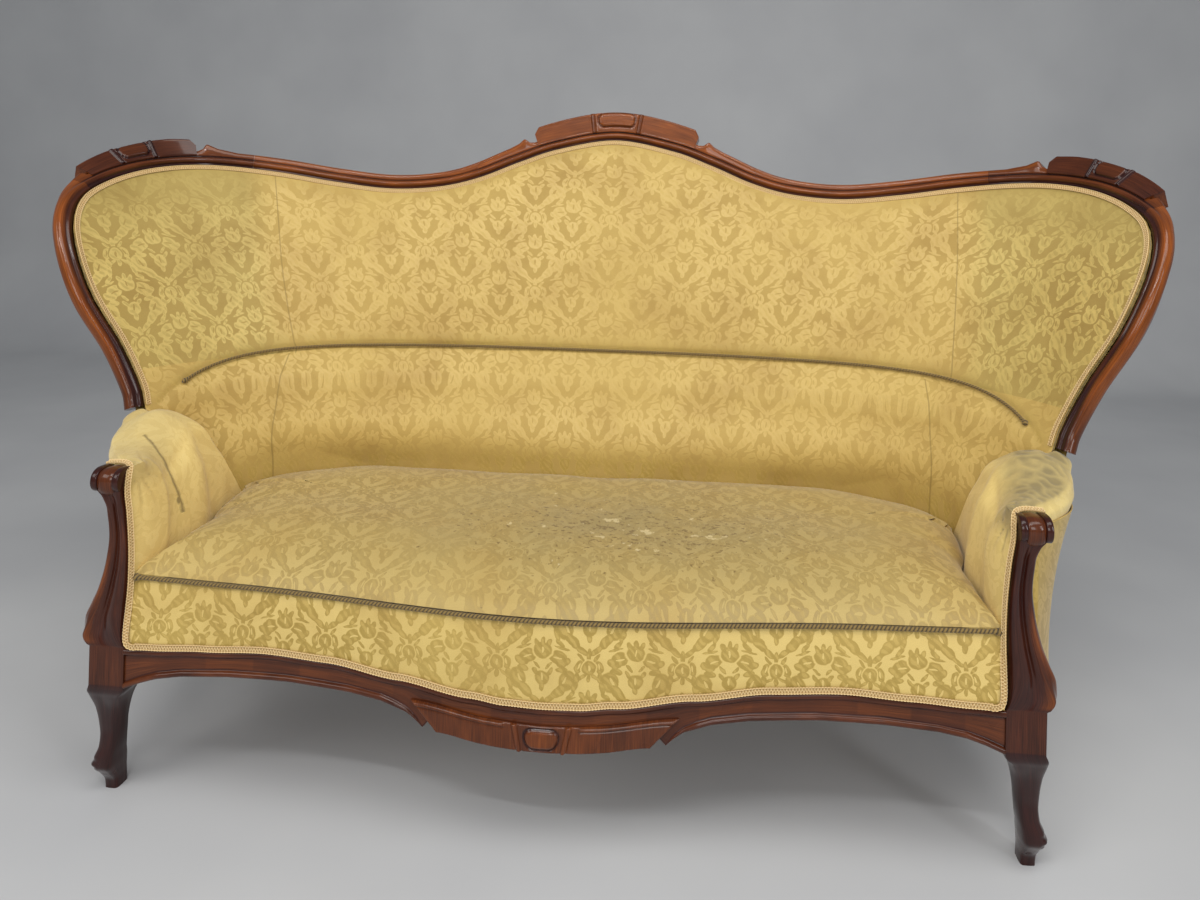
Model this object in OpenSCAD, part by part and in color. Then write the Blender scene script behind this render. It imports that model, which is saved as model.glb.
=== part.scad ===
// Three-seat sofa with a violin-shaped show-wood back that wraps forward into low padded arms,
// cabriole front posts with scroll heads, and a serpentine front rail.
// The origin lies on the floor under the middle; X runs to the sitter's left as seen from the front,
// Y runs towards the back and Z runs up.

/* [Overall] */
// Height of the crest above the floor
overall_h = 1100; // [1060:5:1150]
// Width of the tub at shoulder height, on the line of the covers
overall_w = 1920; // [1800:10:2040]
// Depth from the front of the feet to the crest line
back_depth = 650; // [600:5:700]
// Distance that the back leans between the arms and the crest
back_lean = 106; // [80:2:130]
// Height of the arms at the front posts
arm_h = 500; // [480:5:520]
// Height of the seat along its front piping
seat_h = 340; // [330:2:360]
// Clear width between the front posts
front_span = 1240; // [1180:10:1280]

/* [Back frame] */
// Width of the back frame's wood
frame_w = 31; // [28:0.5:36]
// Thickness of the back frame behind the upholstery line
frame_t = 22; // [18:0.5:26]
// Width of the rounded inner moulding
mould_w = 17; // [14:0.5:19]
// Height of the rounded inner moulding
mould_h = 12; // [9:0.5:14]
// Angle by which the stiles turn their faces to the front
stile_turn = 60; // [52:1:66]
// Width of frame and crest tablet together
crest_tablet_w = 63; // [56:1:70]
// Width of frame and shoulder tablet together
shoulder_tablet_w = 58; // [52:1:64]
// Thickness of the applied tablets
tablet_t = 4; // [3:0.25:6]
// Height of the raised ribs and cabochons
carving_h = 3; // [2:0.25:4]

/* [Front posts] */
// Width of the post at its square block
post_w = 52; // [48:1:58]
// Depth of the post at its square block
post_t = 54; // [50:1:60]
// Width of the scroll head
head_w = 42; // [38:1:46]
// Depth of the scroll head
head_t = 40; // [36:1:44]
// Height of the scroll head
head_h = 46; // [42:1:50]
// Diameter of the roll between the cheeks
roll_d = 34; // [30:1:38]

/* [Seat frame] */
// Thickness of the front rail
rail_t = 28; // [24:1:32]
// Height of the front rail's lower edge at the posts
rail_low_h = 182; // [170:1:190]
// Height of the front rail's upper edge at the posts
rail_top_h = 241; // [234:1:250]
// Forward bow of the front rail at the middle
rail_bow = 30; // [20:1:40]
// Projection of the beads on the front rail
bead_d = 9; // [7:0.5:11]
// Thickness of the beech rails
beech_t = 28; // [24:1:32]
// Height of the beech rails
beech_h = 62; // [58:1:70]
// Width of the back legs
back_leg_w = 40; // [36:1:44]
// Length of the rails' tenons
tenon_l = 18; // [14:1:22]
// Diameter of the dowels in the back frame
dowel_d = 9; // [8:0.5:11]
// Length of the dowels
dowel_l = 44; // [36:2:50]

/* [Springs and webbing] */
// Number of springs along the seat
spring_columns = 6; // [4:1:7]
// Number of springs from front to back
spring_rows = 2; // [2:1:3]
// Largest diameter of a spring
spring_d = 92; // [80:2:100]
// Wire diameter of the springs
wire_d = 4; // [3.5:0.25:5]
// Width of a webbing strap
strap_w = 50; // [44:2:56]
// Thickness of a webbing strap
strap_t = 1.8; // [1.5:0.1:2.2]

/* [Upholstery] */
// Thickness of the covers on the outside
cover_t = 2; // [1.5:0.1:2.5]
// Fullness of the upper back in the middle
back_pad = 34; // [26:1:40]
// Extra fullness of the lumbar roll
lumbar_pad = 26; // [18:1:32]
// Thickness of the arm pads at seat height
arm_pad = 66; // [56:1:74]
// Height of the seat's crown over its edge
seat_crown = 48; // [36:1:56]
// Diameter of the seat's piping cord
piping_d = 7; // [6:0.5:9]
// Width of the gimp braid
gimp_w = 10; // [8:0.5:12]
// Thickness of the gimp braid
gimp_t = 2.4; // [2:0.1:3]

/* [Hidden] */

half_w = overall_w / 2;
crest_rise = overall_h - arm_h;
clearance = 0.3;
probe = 1;
overrun = 5;
$fn = 24;

// Plan of the tub: half width at arm height as a share of the half width, its gain upwards
// and its curve below
tub_half_shares = [0.8064, 0.2748, 0.34];
tub_power_shares = [3.0, 3.2, 0.05];
pinch_share = 0.29;
// Line on which the wood of the back frame meets the cover, from the crest's middle to the stile's foot:
// shares of the quarter turn round the tub, and of the height between the arms and the crest
edge_shares = [
    [0.000, 0.898], [0.079, 0.862], [0.1355, 0.810], [0.190, 0.752], [0.2445, 0.715], [0.311, 0.702],
    [0.380, 0.720], [0.452, 0.748], [0.522, 0.763], [0.582, 0.760], [0.647, 0.738], [0.714, 0.697],
    [0.767, 0.647], [0.799, 0.575], [0.812, 0.478], [0.809, 0.358], [0.784, 0.225], [0.773, 0.103],
    [0.778, 0.045]];
foot_u = len(edge_shares) - 1;
corner_share = 10;
crest_end_share = 3;
link_end_share = 7.5;
shoulder_end_share = 11.5;
crest_tablet_share = 1.42;
shoulder_tablet_shares = [8.68, 11.12];
turn_shares = [[8.4, 0], [9.6, 0.16], [10.6, 0.45], [11.5, 0.75], [12.6, 1]];

function lerp(a, b, t) = a + (b - a) * t;
function clamp01(t) = max(0, min(1, t));
function ease(t) = let (s = clamp01(t)) s * s * (3 - 2 * s);
function steps(a, b, n) = [for (i = [0 : n]) lerp(a, b, i / n)];
function unit(v) = v / norm(v);
function table(rows, x, i = 0) =
    x <= rows[i][0] || i == len(rows) - 1 ? rows[i][1]
    : x < rows[i + 1][0]
        ? lerp(rows[i][1], rows[i + 1][1], (x - rows[i][0]) / (rows[i + 1][0] - rows[i][0]))
        : table(rows, x, i + 1);
function soft_table(rows, x, i = 0) =
    x <= rows[i][0] || i == len(rows) - 1 ? rows[i][1]
    : x < rows[i + 1][0]
        ? lerp(rows[i][1], rows[i + 1][1], ease((x - rows[i][0]) / (rows[i + 1][0] - rows[i][0])))
        : soft_table(rows, x, i + 1);
function spline_at(p0, p1, p2, p3, t) =
    0.5 * (2 * p1 + (p2 - p0) * t + (2 * p0 - 5 * p1 + 4 * p2 - p3) * t * t
        + (3 * p1 - p0 - 3 * p2 + p3) * t * t * t);

// The tub's surface
function tau(z) = (z - arm_h) / crest_rise;
function tub_a(z) =
    half_w * (tub_half_shares[0] + tub_half_shares[1] * tau(z)
        + tub_half_shares[2] * pow(min(0, tau(z)), 2));
function tub_b(z) = back_depth - back_lean * (1 - tau(z));
function tub_p(z) = tub_power_shares[0] + tub_power_shares[1] * max(0, tub_power_shares[2] - tau(z));
function post_line(z) = front_span / 2 + lerp(post_w, head_w, clamp01(z / arm_h)) - clearance;
function tub_raw(phi, z) =
    let (s = sin(phi), c = cos(phi), p = tub_p(z), r = pow(pow(abs(s), p) + pow(abs(c), p), -1 / p))
    [tub_a(z) * r * s, tub_b(z) * r * c];
function tub(phi, z) =
    let (q = tub_raw(phi, z), pinch_y = back_depth * pinch_share, f = clamp01(1 - q[1] / pinch_y))
    [q[0] - sign(q[0]) * (tub_a(z) - post_line(z)) * f * f, q[1], z];
function tub_normal(phi, z) =
    unit(cross(tub(phi + 1, z) - tub(phi - 1, z), tub(phi, z + probe) - tub(phi, z - probe)));
function tub_at(phi, z, n) = tub(phi, z) + tub_normal(phi, z) * n;
function phi_of(q) = atan2(q[0] / tub_a(q[2]), q[1] / tub_b(q[2]));

// The line of the back frame and its moving axes: along, outwards and to the front
function edge_share(i) =
    i < 0 ? [-edge_shares[-i][0], edge_shares[-i][1]]
    : i > foot_u ? 2 * edge_shares[foot_u] - edge_shares[foot_u - 1] : edge_shares[i];
function edge_turn(u) =
    let (i = min(floor(u), foot_u - 1), t = u - i,
        s = spline_at(edge_share(i - 1), edge_share(i), edge_share(i + 1), edge_share(i + 2), t))
    [s[0] * 90, arm_h + s[1] * crest_rise];
function edge_at(u) =
    let (s = edge_turn(abs(u)), q = tub_raw(s[0], s[1]))
    [u < 0 ? -q[0] : q[0], q[1], s[1]];
function edge_axes(u) =
    let (d = 0.02, along = unit(edge_at(u + d) - edge_at(u - d)), q = edge_at(u),
        raw = tub_normal(sign(u) * edge_turn(abs(u))[0], q[2]), front = unit(raw - along * (raw * along)))
    [along, cross(front, along), front];
function on_cover(u, o, n) = let (axes = edge_axes(u)) edge_at(u) + axes[1] * o + axes[2] * n;
function on_edge(u, o, n) =
    let (axes = edge_axes(u), turn = sign(u) * stile_turn * table(turn_shares, abs(u)),
        out = axes[1] * cos(turn) - axes[2] * sin(turn), front = axes[2] * cos(turn) + axes[1] * sin(turn))
    edge_at(u) + out * o + front * n;

// Solids between rings of points, and between a front and a back net
module loft(rings) {
    m = len(rings[0]);
    last = len(rings) - 1;
    polyhedron(
        points = [for (r = rings) each r],
        faces = concat(
            [for (i = [0 : last - 1], j = [0 : m - 1], k = [0, 1])
                let (a = i * m + j, b = i * m + (j + 1) % m)
                k == 0 ? [a, b, b + m] : [a, b + m, a + m]],
            [[for (j = [m - 1 : -1 : 0]) j]],
            [[for (j = [0 : m - 1]) last * m + j]]),
        convexity = 8);
}

module slab(front, back) {
    rows = len(front);
    cols = len(front[0]);
    size = rows * cols;
    rim = concat(
        [for (j = [0 : cols - 1]) j],
        [for (i = [1 : rows - 1]) i * cols + cols - 1],
        [for (j = [cols - 2 : -1 : 0]) (rows - 1) * cols + j],
        [for (i = [rows - 2 : -1 : 1]) i * cols]);
    polyhedron(
        points = concat([for (r = front) each r], [for (r = back) each r]),
        faces = concat(
            [for (i = [0 : rows - 2], j = [0 : cols - 2], k = [0, 1])
                let (a = i * cols + j)
                k == 0 ? [a, a + cols + 1, a + 1] : [a, a + cols, a + cols + 1]],
            [for (i = [0 : rows - 2], j = [0 : cols - 2], k = [0, 1])
                let (a = size + i * cols + j)
                k == 0 ? [a, a + 1, a + cols + 1] : [a, a + cols + 1, a + cols]],
            [for (i = [0 : len(rim) - 1], k = [0, 1])
                let (a = rim[i], b = rim[(i + 1) % len(rim)])
                k == 0 ? [a, b + size, a + size] : [a, b, b + size]]),
        convexity = 8);
}

module left_side() {
    mirror([1, 0, 0]) children();
}

// Front rail and posts
post_front_share = 0.96;
post_front_y = -post_t * post_front_share;
rail_setback = 3;
rail_face_y = post_front_y + rail_setback;
rail_back_y = rail_face_y + rail_t;
span_half = front_span / 2;
rail_h = rail_top_h - rail_low_h;
bow_reach_share = 0.74;
// Heights along the rail as shares of its height at the posts, over shares of the half span
rail_top_shares = [[0, -0.39], [0.08, -0.37], [0.16, -0.29], [0.33, -0.08], [0.5, 0.10], [0.65, 0.15],
    [0.8, 0.08], [0.93, 0.02], [1, 0]];
rail_low_shares = [[0, -0.38], [0.1, -0.34], [0.2, -0.18], [0.245, -0.04], [0.258, 0.0], [0.272, -0.16],
    [0.285, -0.03], [0.31, 0.15], [0.37, 0.33], [0.45, 0.43], [0.6, 0.49], [0.75, 0.47], [0.86, 0.40],
    [0.92, 0.30], [0.96, 0.17], [1, 0]];
bead_shares = [[0.275, 0.06], [0.287, 0.5], [0.34, 1]];
apron_low_shares = [[0, -0.42], [0.34, -0.38], [0.58, -0.31], [1, -0.21]];
apron_top_shares = [[0, 0.19], [0.4, 0.23], [1, 0.47]];
apron_reach_shares = [0.238, 0.30];
function rail_y(x) =
    rail_face_y - rail_bow * (0.5 + 0.5 * cos(180 * clamp01(abs(x) / span_half / bow_reach_share)));
function rail_top(x) = rail_top_h + rail_h * soft_table(rail_top_shares, abs(x) / span_half);
function rail_low(x) = rail_low_h + rail_h * table(rail_low_shares, abs(x) / span_half);

// Back frame
edge_mould_shares = [[0, 0.18], [0.12, 0.42], [0.42, 0.5], [0.72, 0.8], [0.92, 1], [1.06, 0.68]];
band_share = 0.68;
hook_rise = 15;
crest_hook_shares = [[1.55, 0.1], [1.6, 0.3], [1.68, 1], [1.85, 0.6], [2.1, 0.4], [2.7, 0.3], [3.4, 0.1],
    [4.5, 0]];
shoulder_hook_shares = [[7.8, 0], [8.2, 0.4], [8.44, 1], [8.52, 0.3], [8.6, 0.1], [11.15, 0.3], [11.22, 0.6],
    [11.6, 0.3], [12.3, 0], [13.5, -0.2], [foot_u, -0.1]];
function hook(u) = u < 6 ? table(crest_hook_shares, u) : table(shoulder_hook_shares, u);
function on_tablet(u) =
    u < crest_tablet_share + 0.1
    || (u > shoulder_tablet_shares[0] - 0.08 && u < shoulder_tablet_shares[1] + 0.04);
function band_w(u) = frame_w + hook_rise * (on_tablet(u) ? 0 : hook(u));
function frame_section(u) =
    let (w = band_w(u), corner = frame_w - mould_w)
    concat([[0, -frame_t]],
        [for (s = edge_mould_shares) [s[0] * mould_w, s[1] * mould_h]],
        [[w - corner / 3, band_share * mould_h], [w - corner / 9, band_share * mould_h * 0.8],
         [w, band_share * mould_h * 0.3], [w, -frame_t]]);
module frame_piece(us, ends) {
    color("saddlebrown") difference() {
        loft([for (u = us) [for (p = frame_section(abs(u))) on_edge(u, p[0], p[1])]]);
        for (u = ends) dowel(u, clearance);
    }
}
module dowel(u, gap) {
    axes = edge_axes(u);
    centre = on_edge(u, frame_w / 2, -frame_t / 2);
    z_axis = axes[0];
    tilt = acos(z_axis[2]);
    turn = atan2(z_axis[1], z_axis[0]);
    translate(centre) rotate([0, tilt, turn])
        cylinder(h = dowel_l + 2 * gap, d = dowel_d + 2 * gap, center = true);
}
joint_shares = [crest_end_share, link_end_share, shoulder_end_share];
function frame_us(a, b) = [for (i = [0 : (b - a) * 3]) a + i / 3];
crest_step_shares = [0, 0.5, 1, 1.5, 1.54, 1.6, 1.68, 1.85, 2.2, 2.6];
module crest_rail() {
    half = concat(crest_step_shares, [crest_end_share]);
    frame_piece(concat([for (i = [len(half) - 1 : -1 : 1]) -half[i]], half),
        [-crest_end_share, crest_end_share]);
}
module crest_link() {
    frame_piece(steps(crest_end_share, link_end_share, 12), [crest_end_share, link_end_share]);
}
shoulder_step_shares = [7.9, 8.2, 8.36, 8.44, 8.52, 8.57, 8.62, 9.1, 9.5, 9.9, 10.2, 10.6, 10.9, 11.15, 11.22,
    11.35];
module shoulder() {
    frame_piece(concat([link_end_share], shoulder_step_shares, [shoulder_end_share]),
        [link_end_share, shoulder_end_share]);
}
module stile() {
    frame_piece(steps(shoulder_end_share, foot_u, 17), [shoulder_end_share]);
}
module frame_dowels() {
    color("burlywood") {
        for (u = joint_shares) dowel(u, 0);
        left_side() for (u = joint_shares) dowel(u, 0);
    }
}

// Carved tablets
crest_w_shares = [[0, 1], [0.8, 0.98], [1.3, 0.94], [crest_tablet_share, 0.86]];
shoulder_w_shares = [[shoulder_tablet_shares[0], 0.92], [9.2, 1], [10.4, 1],
    [shoulder_tablet_shares[1], 0.94]];
function tablet_w(u) =
    u < 5 ? crest_tablet_w * table(crest_w_shares, u) : shoulder_tablet_w * table(shoulder_w_shares, u);
function tablet_face() = band_share * mould_h + clearance + tablet_t;
function bump(x, width) = let (t = clamp01(1 - abs(x) / width)) ease(t * 2.5);
// Ribs at the two bars and a rounded cabochon between them, from the tablet's middle and half reach
function carving(u, v, middle, bar) =
    let (s = (abs(u) - middle) / bar, rib = bump(abs(s) - 1, 0.12),
        boss = bump(s, 0.82) * bump(v - 0.56, 0.36))
    carving_h * max(rib, boss);
function tablet_section(u, middle = 0, bar = 0.42) =
    let (w = tablet_w(abs(u)), o0 = mould_w * 1.12, face = tablet_face(), under = face - tablet_t)
    concat(
        [[o0, under]],
        [for (v = [0, 0.2, 0.3, 0.5, 0.7, 0.85, 0.95])
            [lerp(o0, w, v), face - (v == 0 ? tablet_t / 3 : 0) + carving(u, v, middle, bar)]],
        [[w, face - tablet_t / 2], [w, -frame_t], [frame_w + clearance, -frame_t],
         [frame_w + clearance, under]]);
crest_rib_shares = [0, 0.15, 0.28, 0.34, 0.38, 0.42, 0.46, 0.5, 0.8, 1.12];
module crest_tablet() {
    half = concat(crest_rib_shares, [crest_tablet_share]);
    us = concat([for (i = [len(half) - 1 : -1 : 1]) -half[i]], half);
    color("sienna") loft([for (u = us) [for (p = tablet_section(u)) on_edge(u, p[0], p[1])]]);
}
module shoulder_tablet() {
    middle = lerp(shoulder_tablet_shares[0], shoulder_tablet_shares[1], 0.526);
    bar = 0.415;
    offsets = [0, 0.16, 0.3, 0.35, 0.38, bar, 0.45, 0.48];
    us = concat([shoulder_tablet_shares[0], 9.1, 9.35],
        [for (i = [len(offsets) - 1 : -1 : 1]) middle - offsets[i]],
        [for (t = offsets) middle + t], [10.7, 10.9, shoulder_tablet_shares[1]]);
    color("sienna") loft([for (u = us) [for (p = tablet_section(u, middle, bar)) on_edge(u, p[0], p[1])]]);
}

// Front posts: sections at shares of the arm height, with inner and outer sides from the joint with the rail
// as shares of the block's width, front and back as shares of the block's depth from the block's front,
// and the kind of section: 0 for the rounded leg, 1 for the square block, 2 for the twin-ridged stump
post_shares = [
    [0.000, 0.80, 1.21, 0.96, 1.41, 0.3], [0.024, 0.80, 1.22, 0.94, 1.40, 0.3],
    [0.060, 0.76, 1.27, 0.72, 1.37, 0], [0.092, 0.71, 1.36, 0.52, 1.33, 0], [0.120, 0.67, 1.31, 0.51, 1.24, 0],
    [0.150, 0.61, 1.18, 0.53, 1.15, 0], [0.190, 0.55, 1.04, 0.56, 1.08, 0], [0.230, 0.50, 1.05, 0.50, 1.04, 0],
    [0.278, 0.40, 1.14, 0.33, 1.02, 0.1], [0.328, 0.20, 1.22, 0.12, 1.0, 0.4],
    [0.350, 0.04, 1.16, 0.03, 1.0, 0.8], [0.372, 0.0, 1.02, 0.0, 1.0, 1],
    [0.484, 0.0, 1.02, 0.0, 1.0, 1], [0.490, 0.0, 1.14, -0.02, 0.99, 1.2], [0.520, 0.01, 1.34, -0.04, 0.98, 1.6],
    [0.555, 0.03, 1.32, -0.04, 0.97, 1.9], [0.600, 0.05, 1.16, -0.01, 0.95, 2],
    [0.650, 0.04, 0.97, 0.02, 0.93, 2], [0.726, 0.03, 0.79, 0.07, 0.92, 2], [0.800, 0.07, 0.70, 0.08, 0.90, 2],
    [0.880, 0.14, 0.74, 0.02, 0.84, 2],
    [0.915, 0.18, 0.82, 0.0, 0.80, 1.6], [0.945, 0.23, 0.98, 0.0, 0.76, 1.2]];
leg_shares = [[-0.42, 0.44], [-0.5, 0.2], [-0.5, -0.1], [-0.44, -0.36], [-0.3, -0.48], [-0.12, -0.5],
    [0.04, -0.5], [0.22, -0.49], [0.4, -0.42], [0.49, -0.22], [0.5, 0.05], [0.48, 0.3], [0.4, 0.46], [0, 0.5]];
block_shares = [[-0.5, 0.5], [-0.5, 0.15], [-0.5, -0.2], [-0.5, -0.46], [-0.46, -0.5], [-0.2, -0.5],
    [0, -0.5], [0.2, -0.5], [0.46, -0.5], [0.5, -0.46], [0.5, -0.2], [0.5, 0.15], [0.5, 0.5], [0, 0.5]];
stump_shares = [[-0.5, 0.5], [-0.5, 0.0], [-0.48, -0.3], [-0.38, -0.46], [-0.24, -0.5], [-0.08, -0.42],
    [0.02, -0.34], [0.1, -0.42], [0.24, -0.48], [0.38, -0.42], [0.48, -0.24], [0.5, 0.05], [0.5, 0.5],
    [0, 0.5]];
function post_ring(row) =
    let (k = row[5], x0 = span_half + row[1] * post_w, x1 = span_half + row[2] * post_w,
        y0 = post_front_y + row[3] * post_t, y1 = post_front_y + row[4] * post_t)
    [for (i = [len(leg_shares) - 1 : -1 : 0])
        let (p = k < 1 ? lerp(leg_shares[i], block_shares[i], k)
            : lerp(block_shares[i], stump_shares[i], k - 1))
        [(x0 + x1) / 2 + p[0] * (x1 - x0), (y0 + y1) / 2 + p[1] * (y1 - y0), row[0] * arm_h]];
head_x = span_half + post_w * 0.24;
head_front_y = post_front_y - post_t * 0.04;
module head() {
    roll_z = arm_h - roll_d / 2 - head_h * 0.12;
    translate([head_x, head_front_y + head_t * 0.25, arm_h - head_h * 0.72])
        cube([head_w, head_t * 0.75, head_h * 0.72]);
    translate([head_x + head_w * 0.22, head_front_y + roll_d / 2 - head_t * 0.2, roll_z])
        rotate([0, 90, 0]) cylinder(h = head_w * 0.56, d = roll_d, $fn = 48);
}
tenon_t = rail_t * 0.4;
tenon_h = rail_h * 0.62;
module rail_tenon(gap) {
    translate([span_half - overrun, rail_face_y + rail_t * 0.35 - gap, rail_low_h + rail_h * 0.2 - gap])
        cube([overrun + tenon_l + gap, tenon_t + 2 * gap, tenon_h + 2 * gap]);
}
module front_post() {
    color("maroon") difference() {
        union() {
            loft([for (row = post_shares) post_ring(row)]);
            head();
        }
        rail_tenon(clearance);
    }
}

function rail_section(x) =
    let (y = rail_y(x), z0 = rail_low(x), z1 = rail_top(x), top = bead_d,
        k = table(bead_shares, abs(x) / span_half) * bead_d)
    [[x, rail_back_y, z0], [x, y, z0], [x, y - k * 0.45, z0 + k * 0.2], [x, y - k * 0.5, z0 + k * 0.6],
     [x, y, z0 + k + clearance], [x, y, z1 - top], [x, y - top * 0.5, z1 - top * 0.8],
     [x, y - top * 0.6, z1 - top * 0.35], [x, y - top * 0.3, z1], [x, rail_back_y, z1]];
tenon_rise_shares = [0, 0, 0.03, 0.06, 0.1, 0.9, 0.94, 0.97, 1, 1];
function tenon_section(x) =
    let (y = rail_face_y + rail_t * 0.35, z = rail_low_h + rail_h * 0.2)
    [for (i = [0 : 9]) [x, y + (i == 0 || i == 9 ? tenon_t : 0), z + tenon_rise_shares[i] * tenon_h]];
module front_rail() {
    half = [0, 0.04, 0.08, 0.12, 0.16, 0.2, 0.245, 0.258, 0.272, 0.285, 0.31, 0.34, 0.37, 0.41, 0.45, 0.52,
        0.6, 0.68, 0.75, 0.81, 0.86, 0.92, 0.96, 1];
    xs = concat([for (i = [len(half) - 1 : -1 : 1]) -half[i]], half) * (span_half - clearance);
    reach = span_half + tenon_l;
    end = span_half - clearance;
    color("brown") loft(concat([tenon_section(-reach), tenon_section(-end)], [for (x = xs) rail_section(x)],
        [tenon_section(end), tenon_section(reach)]));
}
module apron_tablet() {
    ss = concat([-1, -0.8, -0.6, -0.4], [for (t = [-0.24 : 0.03 : 0.2401]) t], [0.4, 0.6, 0.8, 1]);
    color("brown") loft([for (s = ss)
        let (low = soft_table(apron_low_shares, abs(s)), top = soft_table(apron_top_shares, abs(s)))
        concat(
            [for (v = [0, 0.06, 0.2, 0.35, 0.5, 0.65, 0.8, 0.94, 1])
                let (x = s * span_half * lerp(apron_reach_shares[0], apron_reach_shares[1], v),
                    bar = bump(abs(s) - 0.2, 0.035), dx = s / 0.15, dv = (v - 0.5) / 0.42,
                    oval = ease((1 - dx * dx - dv * dv) * 1.6), edge = v == 0 || v == 1 ? 0.5 : 0)
                [x, rail_y(x) - clearance - tablet_t + edge * tablet_t
                    - carving_h * (edge > 0 ? 0 : max(bar, oval)), rail_low_h + rail_h * lerp(low, top, v)]],
            [for (v = [1, 0])
                let (x = s * span_half * lerp(apron_reach_shares[0], apron_reach_shares[1], v))
                [x, rail_y(x) - clearance, rail_low_h + rail_h * lerp(low, top, v)]])]);
}

// Beech seat frame
// The beech rails hang from the seat's height, so that springs and seat keep their room
rail_end_share = 0.809;
rail_end_z = seat_h * rail_end_share;
rail_z = rail_end_z - beech_h;
post_back_y = post_front_y + post_t;
leg_angle = 47;
leg_inset = 3;
front_gap = 3;
front_shift = 16;
shift_angle = 74;
function shift_at(phi) = front_shift * ease((abs(phi) - shift_angle) / (90 - shift_angle));
function front_phi(z, gap) = atan2(1, (post_back_y + gap) / tub_b(z));
function plan_at(phi, n, z) = let (q = tub_at(phi, z, n + shift_at(phi))) [q[0], q[1]];
function board_at(phi, n, z, level) =
    let (q = tub_at(phi, z, n + shift_at(phi))) [q[0], q[1], level ? z : q[2]];
module curved_board(phis, n0, n1, z0, z1, level = false) {
    loft([for (p = phis)
        [for (q = [[n0, z0], [n0, z1], [n1, z1], [n1, z0]]) board_at(p, q[0], q[1], level)]]);
}
leg_run = plan_at(leg_angle + 1, 0, rail_top_h) - plan_at(leg_angle - 1, 0, rail_top_h);
leg_angle_in_plan = atan2(leg_run[1], leg_run[0]);
leg_axis = plan_at(leg_angle, back_leg_w / 2 - frame_t + leg_inset, rail_top_h);
module leg_block(gap, z0, z1) {
    translate([leg_axis[0], leg_axis[1], z0]) rotate([0, 0, leg_angle_in_plan])
        translate([-back_leg_w / 2 - gap, -back_leg_w / 2 - gap, 0])
        cube([back_leg_w + 2 * gap, back_leg_w + 2 * gap, z1 - z0]);
}
side_angles = steps(front_phi(rail_top_h, front_gap), leg_angle + 1.2, 12);
rear_angles = [for (i = [10 : -1 : -10]) (leg_angle - 1.2) * i / 10];
module side_rail() {
    color("burlywood") difference() {
        curved_board(side_angles, -frame_t, beech_t - frame_t, rail_z, rail_end_z, true);
        leg_block(clearance, rail_z - overrun, rail_end_z + overrun);
    }
}
module rear_rail() {
    color("burlywood") difference() {
        curved_board(rear_angles, -frame_t, beech_t - frame_t, rail_z, rail_end_z, true);
        leg_block(clearance, rail_z - overrun, rail_end_z + overrun);
        left_side() leg_block(clearance, rail_z - overrun, rail_end_z + overrun);
    }
}
leg_rake = 55;
leg_foot_share = 0.72;
function leg_ring(w, dy, z) =
    [for (q = [[1, 1], [-1, 1], [-1, -1], [1, -1]] * w / 2)
        [leg_axis[0] + q[0] * cos(leg_angle_in_plan) - q[1] * sin(leg_angle_in_plan),
         leg_axis[1] + dy + q[0] * sin(leg_angle_in_plan) + q[1] * cos(leg_angle_in_plan), z]];
module back_leg() {
    color("burlywood") loft([leg_ring(back_leg_w, 0, rail_end_z), leg_ring(back_leg_w, 0, rail_z),
        leg_ring(back_leg_w * leg_foot_share, leg_rake, 0)]);
}
ledger_y = rail_back_y + clearance;
ledger_end_y = ledger_y + beech_t;
module front_ledger() {
    color("burlywood") translate([-span_half + clearance, ledger_y, rail_z])
        cube([front_span - 2 * clearance, beech_t, beech_h]);
}
rear_inner_y = tub_b(rail_top_h) - (beech_t - frame_t);
brace_h = beech_h * 0.5;
module seat_brace() {
    color("burlywood") translate([-beech_t / 2, ledger_end_y + clearance, rail_z])
        cube([beech_t, tub_b(rail_z) - (beech_t - frame_t) - ledger_end_y - 4 * clearance, brace_h]);
}
block_reach = 46;
block_angles = [for (t = [0 : 4]) front_phi(rail_top_h, ledger_end_y + t * block_reach / 4)];
module corner_block() {
    inner = beech_t - frame_t + 6 * clearance;
    translate([0, 0, rail_z + bead_d]) linear_extrude(beech_h - 2 * bead_d)
        polygon(concat([for (p = block_angles) plan_at(p, inner, rail_top_h)],
            [plan_at(block_angles[0], inner, rail_top_h) - [block_reach, 0]]));
}
module corner_blocks() {
    color("burlywood") {
        corner_block();
        left_side() corner_block();
    }
}

// Beech stays behind the upholstery
stay_gap = 6;
web_n = -strap_t - 8 * clearance;
stay_n = stay_gap - frame_t;
function tack_z() = seat_h + beech_h * 0.55;
tack_h = beech_h * 0.45;
// A stay that stands under the back frame between two places on its line
module stay(u0, u1, z0) {
    loft([for (t = steps(0, 1, 6))
        [for (q = [[u0, stay_n], [u1, stay_n], [u1, web_n], [u0, web_n]])
            let (top = on_cover(q[0], -clearance, q[1]), foot = on_cover(q[0], -clearance, 0))
            t == 1 ? top : tub_at(phi_of(foot), lerp(z0, top[2], t), q[1])]]);
}
corner_stay_shares = [7.62, 8.12];
inner_stay_shares = [2.05, 2.5];
corner_stay_angle = phi_of(edge_at(corner_stay_shares[0]));
module corner_upright() {
    color("burlywood") stay(corner_stay_shares[0], corner_stay_shares[1], rail_end_z + clearance);
}
module back_upright() {
    color("burlywood") stay(inner_stay_shares[0], inner_stay_shares[1], tack_z() + tack_h + clearance);
}
module tacking_rail() {
    reach = corner_stay_angle - 0.15;
    color("burlywood") loft([for (t = [10 : -1 : -10])
        [for (q = [[0, stay_n], [1, stay_n], [1, web_n], [0, web_n]])
            tub_at(reach * t / 10, tack_z() + q[0] * tack_h, q[1])]]);
}
arm_rail_top = arm_h - beech_t;
arm_rail_h = 30;
stile_foot_z = min([for (p = frame_section(foot_u)) on_edge(foot_u, p[0], p[1])[2]]);
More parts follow.
